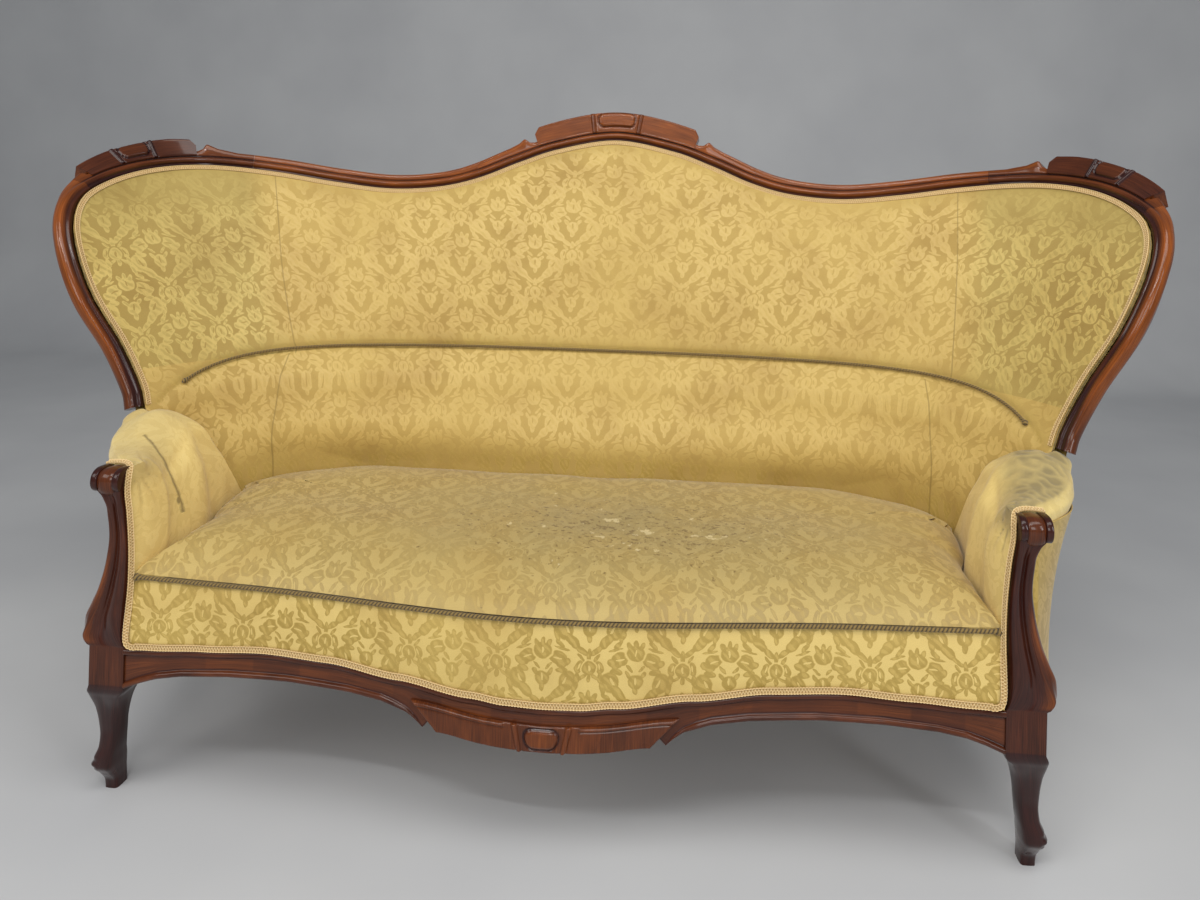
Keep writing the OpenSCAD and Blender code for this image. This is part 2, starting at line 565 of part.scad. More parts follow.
stile_angles = [71.5, 68.2];
function turn_of(l) = l / back_depth * 65;
module stile_block(gap) {
    curved_board(steps(stile_angles[0] + turn_of(gap), stile_angles[1] - turn_of(gap), 2), bead_d - frame_t - gap,
        gap - 2 * strap_t, arm_rail_top - overrun, stile_foot_z - clearance);
}
module arm_rail() {
    color("burlywood") {
        curved_board(steps(front_phi(arm_h, front_gap), stile_angles[1], 12), 6 * clearance - frame_t,
            beech_t - frame_t, arm_rail_top - arm_rail_h, arm_rail_top);
        stile_block(0);
    }
}
module arm_upright() {
    color("burlywood") loft([for (z = steps(rail_end_z + overrun, arm_rail_top - arm_rail_h - clearance, 5))
        [for (q = [[1, -frame_t / 2], [0, -frame_t / 2], [0, 0], [1, 0]])
            tub_at(stile_angles[q[0]], z, q[1])]]);
}

// Webbing and springs
strap_z = rail_z - clearance - strap_t;
function inner_reach(y) = let (p = phi_of([tub_a(rail_top_h), y, rail_top_h])) tub(p, rail_top_h)[0];
module webbing_long() {
    color("tan") for (i = [1 : spring_rows + 1])
        let (y = lerp(ledger_end_y, rear_inner_y, i / (spring_rows + 2.5)), reach = inner_reach(y))
        translate([-reach, y - strap_w / 2, strap_z - strap_t - clearance])
        cube([2 * reach, strap_w, strap_t]);
}
spring_pitch = front_span / (spring_columns + 0.4);
function spring_x(i) = (i - (spring_columns - 1) / 2) * spring_pitch;
function spring_y(j) = lerp(ledger_end_y, rear_inner_y, (j + 0.6) / (spring_rows + 0.2));
module webbing_cross() {
    color("tan") for (i = [0 : spring_columns - 1])
        translate([spring_x(i) - strap_w / 2, ledger_y + clearance, strap_z])
        cube([strap_w, rear_inner_y - ledger_y + frame_t / 2, strap_t]);
}
spring_top = seat_h - piping_d * 5.5;
coil_turns = 3;
coil_steps = 7;
waist_share = 0.62;
function coil_r(t) = (spring_d - wire_d) / 2 * lerp(waist_share, 1, pow(abs(2 * t - 1), 1.4));
module spring() {
    n = coil_turns * coil_steps;
    z0 = strap_z + strap_t + clearance + wire_d / 2;
    loft([for (i = [0 : floor(n)])
        let (t = i / n, a = 360 * i / coil_steps, r = coil_r(t), z = lerp(z0, spring_top - wire_d / 2, t))
        [for (k = [0 : 3]) let (b = 90 * k + 45, c = r + cos(b) * wire_d / 2)
            [c * cos(a), c * sin(a), z + sin(b) * wire_d / 2]]]);
}
module seat_springs() {
    color("silver") for (i = [0 : spring_columns - 1], j = [0 : spring_rows - 1])
        translate([spring_x(i), spring_y(j), 0]) spring();
}

// Upholstery: depths of the padding in front of the tub
arm_phi_shares = [0.634, 0.779];
wood_n = 5;
lumbar_z = arm_h + crest_rise * 0.158;
low_back_shares = [[0, 1.38], [0.25, 1.1], [0.43, 0.78], [0.51, 0.62], [0.634, 0.9]];
arm_shares = [[0.634, 0.82], [0.75, 1.28], [0.855, 1.54], [0.92, 1.35], [1, 0.86]];
arm_side_shares = [[-0.6, 0.95], [0, 1], [0.3, 1.03], [0.6, 0.98], [0.8, 0.84]];
function level(z) = clamp01((z - seat_h) / (stile_foot_z - seat_h));
function side_phi_at(z) = 90 * lerp(arm_phi_shares[0], arm_phi_shares[1], level(z));
function side_n(z) = lerp(arm_pad * arm_shares[0][1], wood_n, ease(level(z)));
function dome(s) = 1 - pow(abs(s), 4);
function back_n(s, phi, z, top) =
    let (e = side_n(z), up = clamp01((z - lumbar_z) / (top - lumbar_z)),
        w = clamp01((lumbar_z - z) / (lumbar_z - seat_h)),
        upper = back_pad * 1.3 * (1 - pow(up, 2.4)), roll = upper + lumbar_pad * ease(w * 3),
        low = max(0, (back_pad + lumbar_pad) * table(low_back_shares, abs(phi) / 90) - e))
    e + dome(s) * lerp(roll, low, ease(2 * w - 1));
function arm_n(phi, z) =
    arm_pad * table(arm_shares, abs(phi) / 90) * table(arm_side_shares, (z - seat_h) / (arm_h - seat_h));

// Nets over the back between the wood, the arms and the seat
back_low_z = seat_h - piping_d * 4;
back_col_shares = [for (i = [-12 : 12]) sin(90 * i / 12) * 0.35 + i / 12 * 0.65];
back_row_shares = [0, 0.04, 0.08, 0.14, 0.22, 0.29, 0.34, 0.37, 0.40, 0.45, 0.54, 0.68, 0.81, 0.91, 0.97, 1];
outside_col_shares = [for (i = [-16 : 16]) sign(i) * pow(abs(i) / 16, 0.8)];
outside_row_shares = [0, 0.12, 0.3, 0.5, 0.75, 0.92, 1];
cover_inset = 2;
foot_t_share = 0.27;
function side_line(t, z0) =
    t < foot_t_share
        ? let (z = lerp(z0, arm_h + edge_shares[foot_u][1] * crest_rise, t / foot_t_share))
            [side_phi_at(z), z]
        : edge_turn(lerp(foot_u, corner_share, (t - foot_t_share) / (1 - foot_t_share)));
function net_turn(s, t, z0) =
    let (top = edge_turn(corner_share * abs(s)), side = side_line(t, z0), corner = edge_turn(corner_share),
        low = [side_phi_at(z0), z0])
    [lerp(lerp(low[0], corner[0], t) * abs(s), lerp(low[0] * abs(s), top[0], t), 1)
        + abs(s) * (side[0] - lerp(low[0], corner[0], t)),
     lerp(z0, top[1], t) + pow(abs(s), 2) * (side[1] - lerp(z0, corner[1], t))];
// Below the rails' mid height the covers hang straight down
function cover_at(phi, z, n) =
    let (q = tub_at(phi, max(z, rail_top_h), n)) [q[0], q[1], q[2] + min(0, z - rail_top_h)];
function net_point(s, t, z0, n, inset) =
    let (q = net_turn(s, t, z0),
        m = n == undef ? back_n(s, q[0], q[1], edge_turn(corner_share * abs(s))[1]) : n)
    cover_at(sign(s) * (q[0] - (abs(s) == 1 ? turn_of(inset) : 0)), q[1] - (t == 1 ? inset : 0), m);
module inside_back() {
    color("khaki") slab(
        [for (t = back_row_shares)
            [for (s = back_col_shares) net_point(s, t, back_low_z, undef, cover_inset / 2)]],
        [for (t = back_row_shares)
            [for (s = back_col_shares) net_point(s, t, back_low_z, -strap_t, 3 * cover_inset)]]);
}
// The outside cover ends further in beside the turned stiles
function outside_inset(s, t) = cover_inset * (abs(s) == 1 && t > foot_t_share / 2 ? 9 : 1);
module outside_back() {
    outer_n = -frame_t - cover_t - 4 * clearance;
    low_z = rail_z + bead_d / 2;
    color("khaki") slab(
        [for (t = outside_row_shares)
            [for (s = outside_col_shares) net_point(s, t, low_z, outer_n, outside_inset(s, t))]],
        [for (t = outside_row_shares)
            [for (s = outside_col_shares) net_point(s, t, low_z, outer_n - cover_t, outside_inset(s, t))]]);
}
pad_ease = 3;
arm_roll = 4;
arm_step_shares = [0, 0.12, 0.26, 0.4, 0.55, 0.7, 0.82, 0.92, 1];
function arm_phi(w, z) = lerp(side_phi_at(z) + 0.6, front_phi(arm_h, front_gap), w);
function arm_top(w) = lerp(stile_foot_z - 2 * clearance, arm_h - pad_ease, ease(w * 1.3));
function arm_ring(w) =
    let (top = arm_top(w), mid = arm_phi(w, arm_h), sh = shift_at(mid),
        inner = beech_t - frame_t + 5 * clearance + sh, outer = -frame_t + sh,
        lip = arm_rail_top - beech_t * 0.4, n = arm_n(mid, seat_h))
    [for (q = concat([[inner, arm_rail_top - arm_rail_h - 4 * clearance], [inner, back_low_z]],
        [for (z = [back_low_z, seat_h, lerp(seat_h, arm_h, 0.3), lerp(seat_h, arm_h, 0.6)])
            [arm_n(arm_phi(w, z), z), z]],
        [[n * 0.82, lerp(seat_h, top, 0.82)], [n * 0.6, lerp(seat_h, top, 0.94)], [n * 0.34, top],
        [0, top], [outer * 0.8, lerp(arm_rail_top, top, 0.8)], [outer - arm_roll, lerp(arm_rail_top, top, 0.3)],
        [outer - arm_roll, lip], [outer, lip], [outer, arm_rail_top + 4 * clearance],
        [inner, arm_rail_top + 4 * clearance]]))
        tub_at(arm_phi(w, q[1]), q[1], q[0])];
module arm_pad_body() {
    color("khaki") difference() {
        loft([for (w = arm_step_shares) arm_ring(w)]);
        stile_block(clearance);
    }
}
module outside_arm() {
    ts = [0, 0.25, 0.5, 0.75, 1];
    top = arm_rail_top - beech_t * 0.4 - 4 * clearance;
    color("khaki") slab(
        [for (t = ts) [for (w = arm_step_shares)
            let (z = lerp(rail_z, top, t), v = max(w, 0.03))
            tub_at(arm_phi(v, z), z, shift_at(arm_phi(v, z)) - frame_t - 4 * clearance)]],
        [for (t = ts) [for (w = arm_step_shares)
            let (z = lerp(rail_z, top, t), v = max(w, 0.03))
            tub_at(arm_phi(v, z), z, shift_at(arm_phi(v, z)) - frame_t - 4 * clearance - cover_t)]]);
}

// Seat
border_lean = 18;
border_out = 5;
border_gap = 2;
seat_dip = 6;
seat_gap = 4.5;
lean_gain_share = 0.67;
function middle_share(x) = 1 - pow(clamp01(abs(x) / span_half), 2);
function piping_z(x) = seat_h - seat_dip * middle_share(x);
function border_top(x) = piping_z(x) - piping_d / 2;
front_slope = 34;
function border_y(x, z) =
    rail_y(x) - border_out + border_lean * (1 - lean_gain_share * middle_share(x))
        * (z - rail_top(x)) / (border_top(x) - rail_top(x));
gimp_out = piping_d * 0.4 + clearance;
hessian_z = spring_top + clearance;
hessian_end = hessian_z + strap_t;
half_shares = [for (i = [9 : -1 : -9]) sin(90 * i / 9) * 0.3 + i / 9 * 0.7];
seat_angles = [for (i = [-14 : 14]) 89 * sign(i) * pow(abs(i) / 14, 0.9)];
function side_depth(phi, z) =
    abs(phi) > side_phi_at(z) ? arm_n(phi, z) : back_n(phi / side_phi_at(z), phi, z, overall_h);
// The seat's outline at a height, from the front left corner, set in by an amount
function seat_outline(z, inset, slope) =
    let (half = span_half - gimp_t - 2 * clearance, mid_y = rear_inner_y / 2)
    [for (p = concat(
        [for (s = half_shares) [s * half, border_y(s * half, border_top(s * half)) + slope]],
        [for (phi = seat_angles) let (q = tub_at(phi, z, side_depth(phi, z) + seat_gap)) [q[0], q[1]]]))
        [p[0] * (1 - inset / half), mid_y + (p[1] - mid_y) * (1 - inset / mid_y), z]];
crown_shares = [[0, 0], [0.025, 0.2], [0.075, 0.42], [0.17, 0.68], [0.34, 0.88], [0.58, 0.98], [0.8, 1]];
module seat_cushion() {
    color("khaki") loft(concat(
        [seat_outline(hessian_end + clearance, 0, front_slope),
         seat_outline((hessian_end + seat_h) / 2, 0, front_slope * 0.5)],
        [for (c = crown_shares)
            seat_outline(seat_h + piping_d / 2 + seat_crown * c[1], c[0] * rear_inner_y / 2, 0)]));
}
module spring_hessian() {
    color("tan") translate([0, 0, hessian_z]) linear_extrude(strap_t)
        polygon([for (p = seat_outline(hessian_end, 0, front_slope)) [p[0], p[1]]]);
}
module seat_border() {
    half = span_half - gimp_t - 2 * clearance;
    color("khaki") loft([for (s = half_shares)
        let (x = s * half, z0 = rail_top(x) + border_gap, z1 = border_top(x) - clearance,
            y1 = border_y(x, border_top(x)))
        [[x, border_y(x, z0), z0], [x, ledger_y - 2 * clearance, z0],
         [x, ledger_y - 2 * clearance, rail_end_z + clearance], [x, ledger_end_y, rail_end_z + clearance],
         [x, y1 + front_slope - clearance, hessian_z - clearance], [x, y1, z1],
         [x, border_y(x, lerp(z0, z1, 0.75)) - piping_d * 0.4, lerp(z0, z1, 0.75)],
         [x, border_y(x, lerp(z0, z1, 0.35)) - piping_d * 0.3, lerp(z0, z1, 0.35)]]]);
}
module seat_piping() {
    half = span_half - gimp_t - 2 * clearance;
    color("olive") loft([for (s = half_shares)
        let (x = s * half, y = border_y(x, border_top(x)) - piping_d * 0.45, z = piping_z(x))
        [for (k = [0 : 5]) [x, y + cos(60 * k) * piping_d * 0.42, z + sin(60 * k) * piping_d * 0.42]]]);
}
module rail_gimp() {
    half = span_half - gimp_t - 2 * clearance;
    color("wheat") loft([for (s = half_shares)
        let (x = s * half, z0 = rail_top(x) + clearance, z1 = z0 + gimp_w, out = gimp_out)
        [[x, border_y(x, z0) - out - gimp_t, z0], [x, border_y(x, z0) - out, z0],
         [x, border_y(x, z1) - out, z1], [x, border_y(x, z1) - out - gimp_t, z1]]]);
}
gimp_shares = concat([for (i = [-36 : 36]) i / 2]);
module back_gimp() {
    n0 = wood_n + 7 * clearance;
    color("wheat") loft([for (u = gimp_shares)
        [on_cover(u, -clearance, n0), on_cover(u, -gimp_w, n0 + gimp_t), on_cover(u, -gimp_w, n0 + 2 * gimp_t),
         on_cover(u, -clearance, n0 + gimp_t)]]);
}
module arm_gimp() {
    z0 = rail_top_h + gimp_w * 1.5;
    z1 = arm_h - head_h;
    x = span_half - gimp_t;
    color("wheat") translate([x, post_front_y + post_t * 0.25, z0])
        cube([gimp_t - clearance, gimp_w, z1 - z0]);
}
lumbar_drop = 7;
lumbar_shares = [for (i = [-14 : 14]) i / 14];
module lumbar_piping() {
    color("olive") loft([for (s = lumbar_shares)
        let (end_drop = (lumbar_z - stile_foot_z) * 0.75,
            z = lumbar_z - lumbar_pad * 0.15 - lumbar_drop * s * s - end_drop * pow(abs(s), 6),
            phi = sign(s) * side_phi_at(z) * 0.97 * pow(abs(s), 0.9), k = phi / side_phi_at(z),
            n = back_n(k, phi, z, overall_h) + piping_d * 0.9)
        [for (k = [0 : 5]) tub_at(phi, z + sin(60 * k) * piping_d / 2, n + cos(60 * k) * piping_d / 2)]]);
}

// The whole is moved so that its depth is centred
function crest_ring(u) = [for (p = tablet_section(u)) on_edge(u, p[0], p[1])];
front_y = border_y(0, rail_top(0) + clearance) - gimp_out - gimp_t;
rear_y = max([for (p = crest_ring(0)) p[1]]);
module place() {
    translate([0, -(front_y + rear_y) / 2, 0]) children();
}

place() left_side() front_post();  // front_post_left
place() front_post();  // front_post_right
place() front_rail();
place() apron_tablet();
place() crest_rail();
place() left_side() crest_link();  // crest_link_left
place() crest_link();  // crest_link_right
place() left_side() shoulder();  // shoulder_left
place() shoulder();  // shoulder_right
place() left_side() stile();  // stile_left
place() stile();  // stile_right
place() crest_tablet();
place() left_side() shoulder_tablet();  // shoulder_tablet_left
place() shoulder_tablet();  // shoulder_tablet_right
place() frame_dowels();
place() left_side() back_leg();  // back_leg_left
place() back_leg();  // back_leg_right
place() left_side() side_rail();  // side_rail_left
place() side_rail();  // side_rail_right
place() rear_rail();
place() front_ledger();
place() seat_brace();
place() corner_blocks();
place() left_side() corner_upright();  // corner_upright_left
place() corner_upright();  // corner_upright_right
place() left_side() back_upright();  // back_upright_left
place() back_upright();  // back_upright_right
place() tacking_rail();
place() left_side() arm_upright();  // arm_upright_left
place() arm_upright();  // arm_upright_right
place() left_side() arm_rail();  // arm_rail_left
place() arm_rail();  // arm_rail_right
place() webbing_long();
place() webbing_cross();
place() seat_springs();
place() spring_hessian();
place() seat_cushion();
place() seat_border();
place() seat_piping();
place() rail_gimp();
place() inside_back();
place() lumbar_piping();
place() back_gimp();
place() outside_back();
place() left_side() arm_pad_body();  // arm_pad_left
place() arm_pad_body();  // arm_pad_right
place() left_side() arm_gimp();  // arm_gimp_left
place() arm_gimp();  // arm_gimp_right
place() left_side() outside_arm();  // outside_arm_left
place() outside_arm();  // outside_arm_right
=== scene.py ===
from functools import partial

import bmesh
import bpy
import numpy as np
from mathutils import Matrix, Vector, noise


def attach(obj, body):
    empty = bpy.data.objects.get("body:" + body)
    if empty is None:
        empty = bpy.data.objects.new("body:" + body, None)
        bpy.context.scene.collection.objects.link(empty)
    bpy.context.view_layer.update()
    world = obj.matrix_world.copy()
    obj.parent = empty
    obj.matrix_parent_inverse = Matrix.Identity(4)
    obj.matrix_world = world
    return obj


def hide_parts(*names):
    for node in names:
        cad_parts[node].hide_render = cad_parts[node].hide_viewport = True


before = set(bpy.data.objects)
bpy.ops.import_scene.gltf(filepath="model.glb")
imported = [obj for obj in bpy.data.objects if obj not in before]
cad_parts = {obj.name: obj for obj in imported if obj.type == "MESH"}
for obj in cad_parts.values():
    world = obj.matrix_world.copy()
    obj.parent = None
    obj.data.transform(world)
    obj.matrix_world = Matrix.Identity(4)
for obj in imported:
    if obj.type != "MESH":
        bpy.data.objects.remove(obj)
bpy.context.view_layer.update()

# Sizes, in millimetres
SEAT_Y = 291.244  # from the front of the posts to the middle of the depth
OVERALL_H, HALF_W, BACK_DEPTH, BACK_LEAN = 1100.0, 960.0, 650.0, 106.0
ARM_H, SEAT_H, SPAN_HALF = 500.0, 340.0, 620.0
FRAME_W, FRAME_T, MOULD_W, MOULD_H = 31.0, 22.0, 17.0, 12.0
STILE_TURN = 60.0
CREST_TABLET_W, SHOULDER_TABLET_W, TABLET_T, CARVING_H = 63.0, 58.0, 4.0, 3.0
POST_W, POST_T, HEAD_W = 52.0, 54.0, 42.0
RAIL_T, RAIL_LOW, RAIL_TOP, RAIL_BOW, BEAD = 28.0, 182.0, 241.0, 30.0, 9.0
BEECH_T, BEECH_H = 28.0, 62.0
BACK_PAD, LUMBAR_PAD, ARM_PAD, SEAT_CROWN = 34.0, 26.0, 66.0, 48.0
PIPING_D, GIMP_W, GIMP_T = 7.0, 10.0, 2.4
SPRING_D, WIRE_D = 92.0, 4.0
CLEAR = 0.3
CREST_RISE = OVERALL_H - ARM_H
SIDES = (("right", False), ("left", True))  # the left pieces are the right ones mirrored

# Small curve tools


def mix(a, b, t):
    return a + (b - a) * t


def bell(t):
    """1 at nought, falling away on both sides."""
    return np.exp(-(t**2))


def vectors(*parts):
    """Points or vectors of the given parts, each a number or an array."""
    return np.stack(np.broadcast_arrays(*parts), -1)


def ease(t):
    """From 0 to 1 with a soft start and end."""
    s = np.clip(t, 0, 1)
    return s * s * (3 - 2 * s)


def table(rows, x):
    rows = np.asarray(rows, float)
    return np.interp(x, rows[:, 0], rows[:, 1])


def soft_table(rows, x):
    rows = np.asarray(rows, float)
    x = np.asarray(x, float)
    i = np.clip(np.searchsorted(rows[:, 0], x, side="right") - 1, 0, len(rows) - 2)
    t = ease((x - rows[i, 0]) / (rows[i + 1, 0] - rows[i, 0]))
    return mix(rows[i, 1], rows[i + 1, 1], t)


def hermite(xs, ys, slopes, x):
    """A curve through ys at xs that has the given slopes there."""
    x = np.clip(np.asarray(x, float), xs[0], xs[-1])
    i = np.clip(np.searchsorted(xs, x, side="right") - 1, 0, len(xs) - 2)
    h = (xs[i + 1] - xs[i])[..., None]
    t = (x - xs[i])[..., None] / h
    return (
        ys[i] * (2 * t**3 - 3 * t**2 + 1)
        + slopes[i] * h * (t**3 - 2 * t**2 + t)
        + ys[i + 1] * (3 * t**2 - 2 * t**3)
        + slopes[i + 1] * h * (t**3 - t**2)
    )


def through(points, x):
    """A smooth curve through a table's points: rows of x and values, with x growing."""
    points = np.asarray(points, float)
    xs, ys = points[:, 0], points[:, 1:]
    return hermite(xs, ys, np.gradient(ys, xs, axis=0), x)


def steady(points, x):
    """A curve through a table's points that never swings past them."""
    points = np.asarray(points, float)
    xs, ys = points[:, 0], points[:, 1:]
    rise = np.diff(ys, axis=0) / np.diff(xs)[:, None]
    same = rise[1:] * rise[:-1] > 0
    slopes = np.zeros_like(ys)
    slopes[1:-1] = np.where(same, 2 * rise[1:] * rise[:-1] / np.where(same, rise[1:] + rise[:-1], 1), 0)
    return hermite(xs, ys, slopes, x)


def between(p0, p1, p2, p3, t):
    """A smooth curve from p1 to p2 that passes on from p0 and to p3."""
    square, cube = 2 * p0 - 5 * p1 + 4 * p2 - p3, 3 * p1 - p0 - 3 * p2 + p3
    return 0.5 * (2 * p1 + (p2 - p0) * t + square * t**2 + cube * t**3)


def closed_curve(points, per):
    """Points on a smooth closed curve through a ring of points, per of them on each side."""
    p = np.asarray(points, float)
    around = [np.roll(p, -k, 0) for k in (-1, 0, 1, 2)]
    return np.stack([between(*around, k / per) for k in range(per)], 1).reshape(-1, p.shape[1])


def unit(v):
    return v / np.linalg.norm(v, axis=-1, keepdims=True)


def times(v, size):
    """Vectors, each times its own size."""
    return v * np.asarray(size, float)[..., None]


def lengths(points):
    """Distance run along the first axis of rows of points."""
    step = np.linalg.norm(np.diff(points, axis=0), axis=-1)
    return np.concatenate([np.zeros((1,) + step.shape[1:]), np.cumsum(step, 0)])


# The tub on which back and arms lie. The frame's inner edge from its middle to the foot of a stile: share
# of a quarter turn, share of the crest's rise. A place u on the edge counts these rows, and is negative on
# the left
EDGE_SHARES = np.array([
    [0, 0.898], [0.079, 0.862], [0.1355, 0.81], [0.19, 0.752], [0.2445, 0.715], [0.311, 0.702],
    [0.38, 0.72], [0.452, 0.748], [0.522, 0.763], [0.582, 0.76], [0.647, 0.738], [0.714, 0.697],
    [0.767, 0.647], [0.799, 0.575], [0.812, 0.478], [0.809, 0.358], [0.784, 0.225], [0.773, 0.103],
    [0.778, 0.045],
])
FOOT_U, CORNER_U = 18, 10
CREST_END_U, LINK_END_U, SHOULDER_END_U = 3.0, 7.5, 11.5
CREST_TABLET_U, SHOULDER_TABLET_U = 1.42, (8.68, 11.12)
# How far the frame has turned outwards at each place u, and how deep the part in front is that draws in
TURN_SHARES = [[8.4, 0], [9.6, 0.16], [10.6, 0.45], [11.5, 0.75], [12.6, 1]]
PINCH = 0.29


def tau(z):
    """0 at the arms' height and 1 at the crest's."""
    return (z - ARM_H) / CREST_RISE


def tub_a(z):
    return HALF_W * (0.8064 + 0.2748 * tau(z) + 0.34 * np.minimum(0, tau(z)) ** 2)


def tub_b(z):
    return BACK_DEPTH - BACK_LEAN * (1 - tau(z))


def post_line(z):
    return SPAN_HALF + mix(POST_W, HEAD_W, np.clip(z / ARM_H, 0, 1)) - CLEAR


def tub_raw(phi, z):
    """The tub's plan at a height: round behind, squarer below the arms."""
    a = np.radians(phi)
    s, c = np.sin(a), np.cos(a)
    p = 3.0 + 3.2 * np.maximum(0, 0.05 - tau(z))
    r = (np.abs(s) ** p + np.abs(c) ** p) ** (-1 / p)
    return tub_a(z) * r * s, tub_b(z) * r * c


def tub(phi, z):
    """A place on the tub, by its turn in degrees from the middle of the back. It draws in to the posts."""
    phi, z = np.broadcast_arrays(np.asarray(phi, float), np.asarray(z, float))
    x, y = tub_raw(phi, z)
    f = np.clip(1 - y / (BACK_DEPTH * PINCH), 0, 1)
    return vectors(x - np.sign(x) * (tub_a(z) - post_line(z)) * f * f, y, z)


def tub_normal(phi, z):
    phi, z = np.broadcast_arrays(np.asarray(phi, float), np.asarray(z, float))
    return unit(np.cross(tub(phi + 1, z) - tub(phi - 1, z), tub(phi, z + 1) - tub(phi, z - 1)))


def tub_at(phi, z, n):
    return tub(phi, z) + times(tub_normal(phi, z), n)


EDGE_TABLE = np.vstack([EDGE_SHARES[1] * [-1, 1], EDGE_SHARES, 2 * EDGE_SHARES[-1] - EDGE_SHARES[-2]])


def edge_turn(u):
    """The turn and height of the frame's edge."""
    u = np.asarray(u, float)
    i = np.minimum(np.floor(u).astype(int), FOOT_U - 1)
    t = (u - i)[..., None]
    s = between(*(EDGE_TABLE[np.clip(i + k, 0, len(EDGE_TABLE) - 1)] for k in range(4)), t)
    return s[..., 0] * 90, ARM_H + s[..., 1] * CREST_RISE


def edge_at(u):
    u = np.asarray(u, float)
    phi, z = edge_turn(np.abs(u))
    x, y = tub_raw(phi, z)
    return vectors(np.where(u < 0, -x, x), y, z)


def edge_axes(u):
    """Along the edge, outwards across it, and forwards off the back."""
    u = np.asarray(u, float)
    along = unit(edge_at(u + 0.02) - edge_at(u - 0.02))
    phi, z = edge_turn(np.abs(u))
    raw = tub_normal(np.where(u < 0, -phi, phi), z)
    front = unit(raw - along * np.sum(raw * along, -1, keepdims=True))
    return along, np.cross(front, along), front


def on_cover(u, o, n):
    _, out, front = edge_axes(u)
    return edge_at(u) + times(out, o) + times(front, n)


def on_edge(u, o, n):
    """A place o outwards and n forwards of the edge, on the frame, whose stiles turn to face outwards."""
    _, out, front = edge_axes(u)
    turn = np.radians(np.sign(u) * STILE_TURN * table(TURN_SHARES, np.abs(u)))[..., None]
    c, s = np.cos(turn), np.sin(turn)
    return edge_at(u) + times(out * c - front * s, o) + times(front * c + out * s, n)


# Making pieces
FINISHES = {}


def place(points):
    """From the curves' millimetres to the frame's metres."""
    p = np.array(points, float)
    p[..., 1] -= SEAT_Y
    return p / 1000


def sandwich(face, rear):
    """A face and the rear rows that come back behind it, closed."""
    return np.concatenate([face, rear, face[:1]], 0)


def skin(name, points, finish, stands_for=(), ends=True, uv=None, tone=None, mirror=False, crease=38):
    """A piece from a grid whose vertices move to the given rows of points, closed over the ends if asked."""
    p = place(points) * [-1 if mirror else 1, 1, 1]
    rows, cols = p.shape[:2]
    bm = bmesh.new()
    bmesh.ops.create_grid(bm, x_segments=cols - 1, y_segments=rows - 1, size=1.0)
    uv_layer = bm.loops.layers.uv.new("UVMap")
    tone_layer = bm.verts.layers.float.new("tone")
    spot = {}
    for v in bm.verts:
        i, j = round((v.co.x + 1) / 2 * (cols - 1)), round((v.co.y + 1) / 2 * (rows - 1))
        spot[v] = (j, i)
        v.co = p[j, i]
        v[tone_layer] = 0.0 if tone is None else float(tone[j, i])
    if uv is not None:
        for f in bm.faces:
            for loop in f.loops:
                j, i = spot[loop.vert]
                loop[uv_layer].uv = uv[j, i] / 1000
    bmesh.ops.remove_doubles(bm, verts=bm.verts, dist=1e-6)
    if ends:
        rim = [e for e in bm.edges if e.is_boundary]
        bmesh.ops.holes_fill(bm, edges=rim, sides=0)
        caps = [f for f in bm.faces if len(f.verts) > 4]
        bmesh.ops.triangulate(bm, faces=caps)
    bmesh.ops.recalc_face_normals(bm, faces=bm.faces)
    return finish_piece(bm, name, finish, stands_for, crease)


def add_object(name, bm, finish):
    mesh = bpy.data.meshes.new(name)
    bm.to_mesh(mesh)
    bm.free()
    mesh.materials.append(FINISHES[finish])
    obj = bpy.data.objects.new(name, mesh)
    bpy.context.scene.collection.objects.link(obj)
    return obj


def finish_piece(bm, name, finish, stands_for, crease=38):
    limit = np.radians(crease)
    for e in bm.edges:
        e.smooth = not (len(e.link_faces) == 2 and e.calc_face_angle() > limit)
    for f in bm.faces:
        f.smooth = True
    piece = add_object(name, bm, finish)
    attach(piece, "root")
    if stands_for:
        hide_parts(*stands_for)
    return piece


def closed(rows):
    """Rows that end where they begin."""
    return np.concatenate([rows, rows[:, :1]], 1)


def flat_run(along, around):
    """Distances over a piece, given those of its rows along it and of its columns round it."""
    return vectors(along[:, None], around[None])


def carved(name, p, uv, tone, stands_for=(), mirror=False, crease=50):
    skin(name, p, "french_polished_mahogany", stands_for, uv=uv, tone=tone, mirror=mirror,
         crease=crease)


def ripple(points, size, seed):
    """Smooth noise from -1 to 1 at each point, of a size in millimetres."""
    flat = np.asarray(points, float).reshape(-1, 3) / size
    vals = [noise.noise(Vector((q[0] + seed, q[1] - seed, q[2] + 2 * seed))) for q in flat]
    return np.array(vals).reshape(np.shape(points)[:-1]) * 1.6


# Materials


def colour(value):
    """The linear colour of an sRGB hex code, or the grey of a number."""
    if not isinstance(value, str):
        return (value, value, value, 1.0)
    c = np.array([int(value[i : i + 2], 16) / 255 for i in (1, 3, 5)])
    c = np.where(c <= 0.04045, c / 12.92, ((c + 0.055) / 1.055) ** 2.4)
    return (*c, 1.0)


def connect(tree, socket, value):
    if isinstance(value, bpy.types.NodeSocket):
        tree.links.new(value, socket)
    else:
        socket.default_value = colour(value) if socket.type == "RGBA" else value


